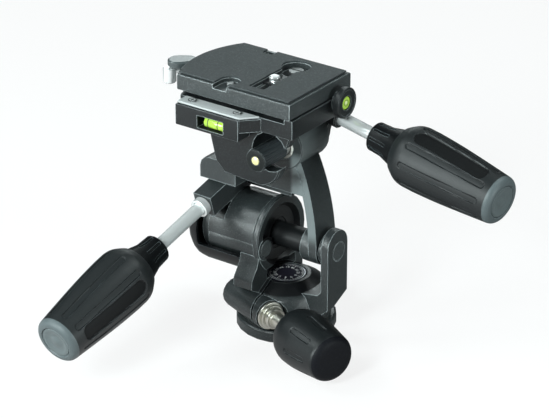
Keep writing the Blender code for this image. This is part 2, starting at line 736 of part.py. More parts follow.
def ear_tool():
    """The ear that carries the arm's outer pin, with its foot, as one hidden solid."""
    inner = EAR_FACE - EAR_THICKNESS
    foot_top = SHOULDER_HEIGHT + EAR_THICKNESS / 2
    side = [(EAR_ROOT, HOUSING_FOOT + EAR_THICKNESS), (EAR_ROOT, SHOULDER_HEIGHT),
            (inner - EAR_THICKNESS / 2, foot_top), (inner, foot_top + EAR_THICKNESS / 2),
            (inner, EAR_TOP + OVERRUN), (EAR_FACE, EAR_TOP + OVERRUN), (EAR_FACE, EAR_FOOT_Z),
            (HOUSING_RADIUS, HOUSING_FOOT + EAR_THICKNESS)]
    ear = add_tool("ear_side", prism(side, EAR_MIDDLE - EAR_HALF_WIDTH - OVERRUN,
                                     EAR_MIDDLE + EAR_HALF_WIDTH + OVERRUN, "Y"))
    front, back = EAR_MIDDLE - EAR_HALF_WIDTH, EAR_MIDDLE + EAR_HALF_WIDTH
    crown = arc((EAR_MIDDLE, EAR_TOP - EAR_HALF_WIDTH), EAR_HALF_WIDTH, 0, math.pi, 12)
    chamfer_y = EAR_MIDDLE - EAR_HALF_WIDTH * EAR_CHAMFER_SHARE
    face = [(front, 0), (chamfer_y, 0), (chamfer_y, EAR_FOOT_Z), (back, EAR_BACK_CORNER)] + crown
    combine(ear, add_tool("ear_face", prism(face, 0, EAR_FACE + OVERRUN, "X")), "INTERSECT")
    return ear


def make_yoke(yoke):
    """The yoke: split housing, leg, barrel with its flange, ear and clamp boss in one casting."""
    rise = SHOULDER_HEIGHT - HOUSING_FOOT
    rim = DIAL_BORE + RIM_WALL
    profile = [(0, HOUSING_FOOT)]
    profile += [(HOUSING_RADIUS * across, HOUSING_FOOT + rise * up) for up, across in HOUSING_SHARES]
    profile += [(SHOULDER_RADIUS, SHOULDER_HEIGHT), (rim + DIAL_EDGE, RIM_HEIGHT - DIAL_EDGE),
                (rim, RIM_HEIGHT), (0, RIM_HEIGHT)]
    casting = add_piece("yoke_casting", turned(profile), yoke, "casting")
    leg = rounded([(LEG_FRONT, LEG_FOOT_HEIGHT),
                   (-CLAMP_OFFSET * LEG_ROOT_SHARE, SHOULDER_HEIGHT - EAR_THICKNESS / 2),
                   (LEG_BACK, SHOULDER_HEIGHT - EAR_THICKNESS), (LEG_BACK, TILT_AXIS_HEIGHT),
                   (LEG_WAIST / 2, TILT_AXIS_HEIGHT), (LEG_WAIST * LEG_NECK_SHARE, BOSS_Z - BOSS_RADIUS / 2),
                   (LEG_WAIST, LEG_WAIST_HEIGHT), (LEG_FRONT, LEG_WAIST_HEIGHT - BOSS_RADIUS)],
                  [CLAMP_ROUND / 2, 0, 0, 0, 0, 0, BARREL_RADIUS / 2, CLAMP_ROUND])
    fuse(casting, "leg", prism(leg, LEG_LEFT, FLANGE_FACE, "X"))
    flange_left = FLANGE_FACE - FLANGE_THICKNESS
    barrel = [(0, BARREL_LEFT), (BARREL_RADIUS, BARREL_LEFT), (BARREL_RADIUS, flange_left),
              (FLANGE_RADIUS, flange_left + FLANGE_RADIUS - BARREL_RADIUS),
              (FLANGE_RADIUS, FLANGE_FACE - DIAL_EDGE), (FLANGE_RADIUS - DIAL_EDGE, FLANGE_FACE + FIT / 2),
              (0, FLANGE_FACE + FIT / 2)]
    fuse(casting, "barrel", turned(barrel), x_frame())
    dish = [(0, DISH_FLOOR), (DISH_RADIUS - DISH_DEPTH, DISH_FLOOR), (DISH_RADIUS, FLANGE_FACE),
            (DISH_RADIUS + OVERRUN / 2, FLANGE_FACE + OVERRUN), (0, FLANGE_FACE + OVERRUN)]
    cut(casting, "dish", turned(dish), x_frame())
    boss_frame = along(Vector((0, BOSS_Y, BOSS_Z)), X_AXIS)
    boss = cylinder(BOSS_RADIUS, BARREL_LEFT + OVERLAP, FLANGE_FACE + PLUG_PROUD, MEDIUM,
                    low_edge=DIAL_EDGE)
    fuse(casting, "lower_boss", boss, boss_frame)
    combine(casting, ear_tool(), "UNION")
    fuse(casting, "ear_boss", cylinder(EAR_BOSS_RADIUS, EAR_BOSS_FACE, EAR_FACE - OVERLAP, MEDIUM), x_frame())
    clamp = [(0, CLAMP_LEFT)] + quarter_round(CLAMP_RADIUS, CLAMP_LEFT, CLAMP_ROUND, upward=False)
    clamp += [(CLAMP_RADIUS, CLAMP_RIGHT), (0, CLAMP_RIGHT)]
    fuse(casting, "clamp_boss", turned(clamp, MEDIUM), along(CLAMP_MIDDLE, CLAMP_DIRECTION))
    sweep = tilt_angle_points(BARREL_RADIUS + OVERRUN, STEP_FRONT_ANGLE, STEP_BACK_ANGLE, 20)
    sweep += tilt_angle_points(STEP_RADIUS, STEP_BACK_ANGLE, STEP_FRONT_ANGLE, 20)
    cut(casting, "barrel_step", prism(sweep, BARREL_LEFT - OVERRUN, STEP_RIGHT, "X"))
    bore = [(0, HOUSING_FOOT - OVERRUN), (HOUSING_BORE, HOUSING_FOOT - OVERRUN), (HOUSING_BORE, LINER_TOP),
            (CIRCLIP_RADIUS + FIT, LINER_TOP), (CIRCLIP_RADIUS + FIT, DIAL_BOTTOM), (DIAL_BORE, DIAL_BOTTOM),
            (DIAL_BORE, NOTCH_ABOVE_DIAL - OVERRUN), (0, NOTCH_ABOVE_DIAL - OVERRUN)]
    cut(casting, "housing_bore", turned(bore, MEDIUM))
    cut(casting, "dial_notch", cylinder(NOTCH_RADIUS, RIM_HEIGHT + FIT, NOTCH_ABOVE_DIAL))
    cut(casting, "clamp_slot", box((SLOT_PLACE - SLOT_WIDTH / 2, LEG_FRONT * SLOT_REACH_SHARE, 0),
                                   (SLOT_PLACE + SLOT_WIDTH / 2, -DIAL_RADIUS, RIM_HEIGHT + OVERRUN)))
    washer_seat = cylinder(WASHER_RADIUS + 2 * FIT, CLAMP_RIGHT, CLAMP_RIGHT + WASHER_RADIUS, MEDIUM)
    cut(casting, "washer_seat", washer_seat, along(CLAMP_MIDDLE, CLAMP_DIRECTION))
    cut(casting, "clamp_bore", cylinder(CLAMP_SCREW_RADIUS + FIT, -OVERRUN, CLAMP_RIGHT + OVERRUN, COARSE),
        along(CLAMP_MIDDLE, CLAMP_DIRECTION))
    cut(casting, "insert_bore", cylinder(INSERT_RADIUS + FIT, CLAMP_BORE_DEPTH, 0, COARSE),
        along(CLAMP_MIDDLE, CLAMP_DIRECTION))
    seat = BEARING_RADIUS + FIT
    inside = [(0, BARREL_LEFT - OVERRUN), (seat, BARREL_LEFT - OVERRUN),
              (seat, BARREL_LEFT + BEARING_LENGTH),
              (SPRING_BORE, BARREL_LEFT + BEARING_LENGTH), (SPRING_BORE, DISH_FLOOR - BEARING_LENGTH),
              (seat, DISH_FLOOR - BEARING_LENGTH), (seat, FLANGE_FACE + OVERRUN), (0, FLANGE_FACE + OVERRUN)]
    cut(casting, "barrel_bore", turned(inside, COARSE), x_frame())
    cut(casting, "plug_bore", cylinder(PLUG_RADIUS + FIT, FLANGE_FACE - PLUG_LENGTH, FLANGE_FACE + OVERRUN,
                                       COARSE), boss_frame)
    pin_bore = [(0, EAR_BOSS_FACE - OVERRUN), (PIN_RADIUS + FIT, EAR_BOSS_FACE - OVERRUN),
                (PIN_RADIUS + FIT, EAR_FACE - PIN_HEAD_DEPTH),
                (PIN_HEAD_RADIUS + FIT, EAR_FACE - PIN_HEAD_DEPTH),
                (PIN_HEAD_RADIUS + FIT, EAR_FACE + OVERRUN), (0, EAR_FACE + OVERRUN)]
    cut(casting, "pin_bore", turned(pin_bore, COARSE), x_frame())


def make_yoke_fittings(yoke):
    """What is pressed or screwed into the yoke."""
    liner = tube(HUB_RADIUS + FIT, HUB_RADIUS + FIT + LINER_WALL, HOUSING_FOOT, LINER_TOP - FIT)
    add_piece("pan_liner", liner, yoke, "liner")
    clamp = along(CLAMP_MIDDLE, CLAMP_DIRECTION)
    insert_left = CLAMP_BORE_DEPTH + FIT
    insert = tube(CLAMP_SCREW_RADIUS + FIT, INSERT_RADIUS, insert_left, insert_left + INSERT_LENGTH, COARSE)
    add_piece("clamp_insert", insert, yoke, "brass", clamp)
    plug = cylinder(PLUG_RADIUS, FLANGE_FACE - PLUG_LENGTH + FIT, FLANGE_FACE + 2 * PLUG_PROUD, COARSE,
                    high_edge=PLUG_PROUD)
    add_piece("stop_plug", plug, yoke, "cover", along(Vector((0, BOSS_Y, BOSS_Z)), X_AXIS))
    inner = AXLE_RADIUS + RUNNING_FIT
    for name, left in (("barrel_bearing_left", BARREL_LEFT + FIT),
                       ("barrel_bearing_right", DISH_FLOOR - BEARING_LENGTH + FIT)):
        ring = tube(inner, BEARING_RADIUS, left, left + BEARING_LENGTH - 2 * FIT, COARSE)
        add_piece(name, ring, yoke, "liner", x_frame())
    pin = turned([(0, PIN_LEFT), (PIN_RADIUS, PIN_LEFT), (PIN_RADIUS, EAR_FACE - PIN_HEAD_DEPTH + FIT),
                  (PIN_HEAD_RADIUS, EAR_FACE - PIN_HEAD_DEPTH + FIT), (PIN_HEAD_RADIUS, EAR_FACE),
                  (0, EAR_FACE)], COARSE)
    add_piece("ear_pin", pin, yoke, "cover", x_frame())


def make_spring_cover(yoke):
    """The smooth cover under and left of the barrel, open above for the tilt frame."""
    right = LEG_LEFT - FIT
    inside = COVER_RADIUS - COVER_WALL
    depth = COVER_SHOULDER - COVER_LEFT
    outer = [(COVER_RADIUS, right), (COVER_RADIUS, COVER_SHOULDER)]
    inner = [(0, COVER_LEFT + COVER_WALL)]
    crown = []
    hollow = []
    for step in range(1, 6):
        angle = QUARTER * step / 5
        reach = 1 - (1 - math.cos(angle)) * COVER_CROWN_SHARE
        crown.append((COVER_RADIUS * reach, COVER_SHOULDER - depth * math.sin(angle)))
        hollow.append((inside * reach, COVER_SHOULDER - (depth - COVER_WALL) * math.sin(angle)))
    profile = inner + hollow[::-1] + [(inside, COVER_SHOULDER), (inside, right)]
    profile += outer + crown + [(0, COVER_LEFT)]
    cover = add_piece("spring_cover", turned(profile), yoke, "cover", x_frame())
    mouth = [(0, TILT_AXIS_HEIGHT)]
    mouth += tilt_angle_points(COVER_RADIUS * COVER_MOUTH_SHARE, COVER_FRONT_ANGLE, TURN + COVER_BACK_ANGLE, 24)
    cut(cover, "cover_mouth", prism(mouth, COVER_SPLIT, right + OVERRUN, "X"))
    round_rim = OVERRUN - LEG_LEFT
    relief = [(0, 0), (HOUSING_RADIUS + FIT, 0), (HOUSING_RADIUS + FIT, SHOULDER_HEIGHT + FIT),
              (round_rim, SHOULDER_HEIGHT + FIT), (round_rim, RIM_HEIGHT - DIAL_EDGE), (0, RIM_HEIGHT - DIAL_EDGE)]
    cut(cover, "cover_relief", turned(relief))


def make_pan_knob(knob):
    """Clamp screw with its washers and the tapered knob."""
    frame = along(CLAMP_MIDDLE, CLAMP_DIRECTION)
    seat = CLAMP_RIGHT + FIT
    second = seat + WASHER_THICKNESS + FIT
    collar = second + WASHER_THICKNESS + FIT
    knob_end = KNOB_INNER + KNOB_LENGTH
    for name, low, radius in (("pan_washer_large", seat, WASHER_RADIUS),
                              ("pan_washer_small", second, WASHER_RADIUS * SMALL_WASHER_SHARE)):
        washer = tube(CLAMP_SCREW_RADIUS + FIT, radius, low, low + WASHER_THICKNESS, MEDIUM)
        add_piece(name, washer, knob, "nickel", frame)
    tip = CLAMP_BORE_DEPTH + INSERT_RADIUS * INSERT_TIP_SHARE
    screw = turned([(0, tip), (CLAMP_SCREW_RADIUS - ROD_TIP_CHAMFER, tip),
                    (CLAMP_SCREW_RADIUS, tip + ROD_TIP_CHAMFER), (CLAMP_SCREW_RADIUS, collar),
                    (COLLAR_RADIUS, collar), (COLLAR_RADIUS, collar + COLLAR_LENGTH),
                    (KNOB_SHANK_RADIUS, collar + COLLAR_LENGTH),
                    (KNOB_SHANK_RADIUS, KNOB_INNER + KNOB_LENGTH / 2), (0, KNOB_INNER + KNOB_LENGTH / 2)],
                   COARSE)
    add_piece("pan_screw", screw, knob, "nickel", frame)
    core_radius = KNOB_BACK_RADIUS - KNOB_WALL - FIT
    core = [(KNOB_SHANK_RADIUS + FIT, KNOB_INNER - FIT), (core_radius, KNOB_INNER - FIT),
            (core_radius, knob_end - 2 * KNOB_WALL), (KNOB_SHANK_RADIUS + FIT, knob_end - 2 * KNOB_WALL)]
    add_piece("pan_knob_core", turned(core, MEDIUM, closed=True), knob, "cover", frame)
    bore = core_radius + FIT
    outer = []
    for share, across in KNOB_SHARES:
        outer.append((KNOB_RADIUS * across, KNOB_INNER + KNOB_LENGTH * share))
    outer.append((KNOB_TIP_RADIUS, knob_end - KNOB_LENGTH * KNOB_ROUND_SHARE))
    round_size = KNOB_LENGTH * KNOB_ROUND_SHARE
    for step in range(1, 5):
        angle = QUARTER * step / 5
        outer.append((KNOB_TIP_RADIUS - round_size * (1 - math.cos(angle)),
                      knob_end - round_size + round_size * math.sin(angle)))
    outer.append((KNOB_TIP_RADIUS - round_size, knob_end))
    cover = [(0, knob_end - 2 * KNOB_WALL + FIT), (bore, knob_end - 2 * KNOB_WALL + FIT), (bore, KNOB_INNER)]
    cover += outer + [(0, knob_end - FIT)]
    shell = add_piece("pan_knob_cover", turned(cover, GRIP_STEPS), knob, "grip", frame)
    bars = [lozenge(TURN * index / KNOB_GROOVES, (KNOB_GROOVE_LENGTH, KNOB_GROOVE_WIDTH),
                    KNOB_INNER + KNOB_LENGTH * KNOB_GROOVE_PLACE_SHARE, KNOB_BACK_RADIUS / 2,
                    KNOB_RADIUS + OVERRUN)
            for index in range(KNOB_GROOVES)]
    cut_lozenges(shell, "knob_grooves", frame, bars, sunk(outer, KNOB_GROOVE_DEPTH, 0, knob_end))


def lozenge(angle, size, middle, inner, outer):
    """A round-ended bar that stands out from a turned grip at the angle."""
    length, width = size
    half, wide = length / 2, width / 2
    outline = rounded([(-wide, -half), (wide, -half), (wide, half), (-wide, half)], wide * BAR_ROUND_SHARE, 2)
    bar = prism(outline, inner, outer, "X")
    bar.transform(Matrix.Translation((0, 0, middle)))
    bar.transform(Matrix.Rotation(angle, 4, "Z"))
    return bar


def cut_lozenges(piece, name, frame, bars, floor):
    """Sink the bars into the grip as far as the floor, which follows its outside."""
    shape = bmesh.new()
    for bar in bars:
        mesh = bpy.data.meshes.new(name)
        bar.to_mesh(mesh)
        bar.free()
        shape.from_mesh(mesh)
        bpy.data.meshes.remove(mesh)
    tool = add_tool(name, shape, frame)
    cut(tool, name + "_floor", turned(floor, GRIP_STEPS), frame)
    combine(piece, tool, "DIFFERENCE")


def sunk(outer, depth, low, high):
    """The turned solid that lies the depth inside an outside profile."""
    inner = [(radius - depth, height) for radius, height in outer if low <= height <= high]
    return [(0, inner[0][1])] + inner + [(0, inner[-1][1])]


def frame_tool():
    """The curved arm, trimmed to its rounded lower end."""
    start = -math.asin(ARM_BOSS_RADIUS * ARM_START_SHARE / ARM_RADIUS)
    outer = arc((ARM_CENTRE_X, TILT_AXIS_HEIGHT), ARM_RADIUS, start, ARM_TOP_ANGLE, 16)
    inner = arc((ARM_CENTRE_X, TILT_AXIS_HEIGHT), ARM_RADIUS - ARM_THICKNESS, ARM_TOP_ANGLE, start, 16)
    arm = add_tool("arm_arc", prism(outer + inner, EAR_MIDDLE - 2 * EAR_HALF_WIDTH,
                                    EAR_MIDDLE + 2 * EAR_HALF_WIDTH, "Y"))
    top = TILT_AXIS_HEIGHT + ARM_RADIUS
    face = arc((EAR_MIDDLE, TILT_AXIS_HEIGHT), EAR_HALF_WIDTH, math.pi, TURN, 12)
    face += [(EAR_MIDDLE + EAR_HALF_WIDTH - ARM_TAPER, top), (EAR_MIDDLE - EAR_HALF_WIDTH + ARM_TAPER, top)]
    combine(arm, add_tool("arm_face", prism(face, 0, ARM_OUTER_X + OVERRUN, "X")), "INTERSECT")
    return arm


def make_tilt_frame(tilt):
    """The tilt frame: cheek, shoulder, handle block, web, side barrel and curved arm in one casting."""
    across = CHEEK_HALF_WIDTH
    climb = math.sqrt(CHEEK_RADIUS ** 2 - across ** 2)
    start = math.pi - math.atan2(climb, across)
    cheek = arc((0, TILT_AXIS_HEIGHT), CHEEK_RADIUS, start, TURN + math.atan2(climb, across), 24)
    cheek += [(SHELF_BACK, SHELF_TOP - SHELF_ROUND), (-across, SHELF_TOP - SHELF_ROUND)]
    frame = add_piece("tilt_frame", prism(cheek, CHEEK_LEFT, CHEEK_RIGHT, "X"), tilt, "casting")
    shelf = rounded([(CHEEK_LEFT + 3 * FIT, SHELF_BOTTOM), (SHELF_RIGHT, SHELF_BOTTOM),
                        (SHELF_RIGHT, SHELF_TOP), (CHEEK_LEFT + 3 * FIT, SHELF_TOP)],
                       [0, 0, SIDE_BARREL_ROUND, SHELF_ROUND])
    fuse(frame, "shelf", prism(shelf, SHELF_FRONT, SHELF_BACK, "Y"))
    half = BLOCK_SIDE / 2
    fuse(frame, "handle_block", box((-half, -half, BLOCK_BACK), (half, half, BLOCK_FRONT)),
         along(TILT_HANDLE_ORIGIN, TILT_DIRECTION))
    neck = box((TILT_HANDLE_X - half + OVERLAP, -BLOCK_SIDE, TILT_AXIS_HEIGHT + STEP_RADIUS - OVERRUN),
               (TILT_HANDLE_X + half - OVERLAP, half, SHELF_BOTTOM + OVERLAP))
    fuse(frame, "block_neck", neck)
    web = [(SHELF_RIGHT - BLOCK_SIDE, SHELF_BOTTOM + OVERLAP), (SHELF_RIGHT, WEB_BOTTOM),
           (ARM_OUTER_X - 1.5 * ARM_THICKNESS, WEB_BOTTOM), (SIDE_AXIS_X + ARM_THICKNESS, SIDE_AXIS_HEIGHT),
           (SIDE_AXIS_X - ARM_THICKNESS, SIDE_AXIS_HEIGHT), (SHELF_RIGHT - BLOCK_SIDE, SHELF_TOP - OVERLAP)]
    fuse(frame, "web", prism(web, WEB_FRONT, WEB_FRONT + 2 * WEB_THICKNESS, "Y"))
    fuse(frame, "web_skirt", box((SHELF_RIGHT - BLOCK_SIDE, SKIRT_FRONT, SKIRT_BOTTOM),
                                 (SKIRT_RIGHT, SHELF_BACK, WEB_BOTTOM + OVERRUN)))
    fuse(frame, "skirt_top", box((SHELF_RIGHT - OVERRUN, WEB_FRONT + WEB_THICKNESS, WEB_BOTTOM + OVERLAP),
                                 (SKIRT_RIGHT, SHELF_BACK, WEB_BOTTOM + WEB_THICKNESS)))
    barrel = [(0, SIDE_BARREL_FRONT), (SIDE_BARREL_RADIUS - DIAL_EDGE, SIDE_BARREL_FRONT),
              (SIDE_BARREL_RADIUS, SIDE_BARREL_FRONT + DIAL_EDGE)]
    barrel += quarter_round(SIDE_BARREL_RADIUS, SIDE_BARREL_BACK, SIDE_BARREL_ROUND)
    barrel += [(0, SIDE_BARREL_BACK)]
    fuse(frame, "side_barrel", turned(barrel), y_frame())
    combine(frame, frame_tool(), "UNION")
    fuse(frame, "arm_boss", cylinder(ARM_BOSS_RADIUS, ARM_BOSS_LEFT, ARM_OUTER_X - ARM_THICKNESS / 3, MEDIUM),
         x_frame())
    cut(frame, "step_clearance", cylinder(STEP_RADIUS + 2 * FIT, CHEEK_RIGHT - FIT / 2, STEP_RIGHT), x_frame())
    cut(frame, "barrel_clearance", cylinder(BARREL_RADIUS + 2 * FIT, STEP_RIGHT - FIT, FLANGE_FACE), x_frame())
    fit_bore = AXLE_RADIUS + FIT
    cut(frame, "cheek_bore", cylinder(fit_bore, CHEEK_LEFT - OVERRUN, CHEEK_RIGHT + OVERRUN, COARSE), x_frame())
    end = [(0, ARM_BOSS_LEFT - OVERRUN), (fit_bore, ARM_BOSS_LEFT - OVERRUN), (fit_bore, AXLE_RIGHT + FIT),
           (ARM_BUSH_RADIUS + FIT, AXLE_RIGHT + FIT), (ARM_BUSH_RADIUS + FIT, ARM_OUTER_X + OVERRUN),
           (0, ARM_OUTER_X + OVERRUN)]
    cut(frame, "arm_bore", turned(end, COARSE), x_frame())
    seat = SIDE_BEARING_RADIUS + FIT
    inside = [(0, SIDE_BARREL_FRONT - OVERRUN), (seat, SIDE_BARREL_FRONT - OVERRUN),
              (seat, SIDE_BARREL_FRONT + BEARING_LENGTH),
              (SIDE_SPRING_BORE, SIDE_BARREL_FRONT + BEARING_LENGTH),
              (SIDE_SPRING_BORE, SIDE_BARREL_BACK - BEARING_LENGTH), (seat, SIDE_BARREL_BACK - BEARING_LENGTH),
              (seat, SIDE_BARREL_BACK + OVERRUN), (0, SIDE_BARREL_BACK + OVERRUN)]
    cut(frame, "side_bore", turned(inside, COARSE), y_frame())
    cut_shoe_pocket(frame, "tilt", TILT_HANDLE_ORIGIN, TILT_DIRECTION, TILT_ORIGIN, X_AXIS,
                    STEP_RADIUS, BLOCK_FRONT)


def closest(origin, direction, axis_point, axis):
    """How far along the handle it passes the axis, and at what distance."""
    gap = axis_point - origin
    gap -= axis * gap.dot(axis)
    reach = gap.dot(direction)
    return reach, (gap - direction * reach).length


def shoe_half(distance, drum):
    """Half the shoe's length; the rod's tip stays outside the drum beyond it."""
    inner = distance - ROD_RADIUS - FIT
    outside = max((drum + 2 * FIT) ** 2 - inner ** 2, 0)
    return max(SHOE_LENGTH / 2, math.sqrt(outside))


def shoe_box(origin, direction, axis_point, axis, drum, clearance):
    """The brake shoe's block beside the drum, in the handle's frame."""
    reach, distance = closest(origin, direction, axis_point, axis)
    low = drum - distance - clearance
    half = shoe_half(distance, drum)
    return box((low - clearance, -SHOE_WIDTH / 2 - clearance, reach - half - clearance),
               (ROD_RADIUS - FIT + clearance, SHOE_WIDTH / 2 + clearance, reach + half + clearance))


def cut_shoe_pocket(piece, name, origin, direction, axis_point, axis, drum, front):
    """The handle's bore and the pocket of its brake shoe."""
    frame = along(origin, direction)
    reach = closest(origin, direction, axis_point, axis)[0]
    cut(piece, name + "_rod_bore", cylinder(ROD_RADIUS + FIT, reach, front + OVERRUN, COARSE), frame)
    cut(piece, name + "_shoe_pocket", shoe_box(origin, direction, axis_point, axis, drum, FIT), frame)


def make_shoe(name, body, origin, direction, axis_point, axis, drum):
    """A brake shoe with a hollow face that bears on its drum."""
    frame = along(origin, direction)
    shoe = add_piece(name, shoe_box(origin, direction, axis_point, axis, drum, 0), body, "steel", frame)
    reach = closest(origin, direction, axis_point, axis)[0]
    place = origin + direction * reach
    drum_frame = along(Vector((place.x, axis_point.y, axis_point.z)) if axis is X_AXIS
                       else Vector((axis_point.x, place.y, axis_point.z)), axis)
    cut(shoe, name + "_hollow", cylinder(drum + FIT, -SHOE_LENGTH, SHOE_LENGTH), drum_frame)


def make_tilt_fittings(tilt):
    """Axle, bush, spring and brake shoe of the front tilt."""
    axle = cylinder(AXLE_RADIUS, CHEEK_LEFT + FIT, AXLE_RIGHT, MEDIUM, DIAL_EDGE, DIAL_EDGE)
    add_piece("tilt_axle", axle, tilt, "steel", x_frame())
    bush = tube(PIN_RADIUS + RUNNING_FIT, ARM_BUSH_RADIUS, AXLE_RIGHT + 2 * FIT, ARM_OUTER_X, COARSE)
    add_piece("arm_bush", bush, tilt, "liner", x_frame())
    wire = (SPRING_BORE - AXLE_RADIUS) / 6
    spring = coil((SPRING_BORE + AXLE_RADIUS) / 2, wire, BARREL_LEFT + BEARING_LENGTH + FIT,
                  DISH_FLOOR - BEARING_LENGTH - FIT)
    add_piece("tilt_spring", spring, tilt, "steel", x_frame())
    make_shoe("tilt_brake_shoe", tilt, TILT_HANDLE_ORIGIN, TILT_DIRECTION, TILT_ORIGIN, X_AXIS, STEP_RADIUS)


def platform_outline(right, front, back, front_corner, back_corner, bulge):
    """The plate's plan: three straight edges and a bowed left end."""
    chord = Vector((back_corner - front_corner, back - front))
    radius = (chord.length ** 2 / 4 + bulge ** 2) / (2 * bulge)
    middle = Vector((front_corner, front)) + chord / 2
    normal = Vector((chord.y, -chord.x)).normalized()
    centre = middle + normal * (radius - bulge)
    half = math.asin(chord.length / 2 / radius)
    heading = math.atan2(-normal.y, -normal.x)
    bow = arc(centre, radius, heading - half, heading + half, 12)
    return [(right, front), (right, back)] + bow


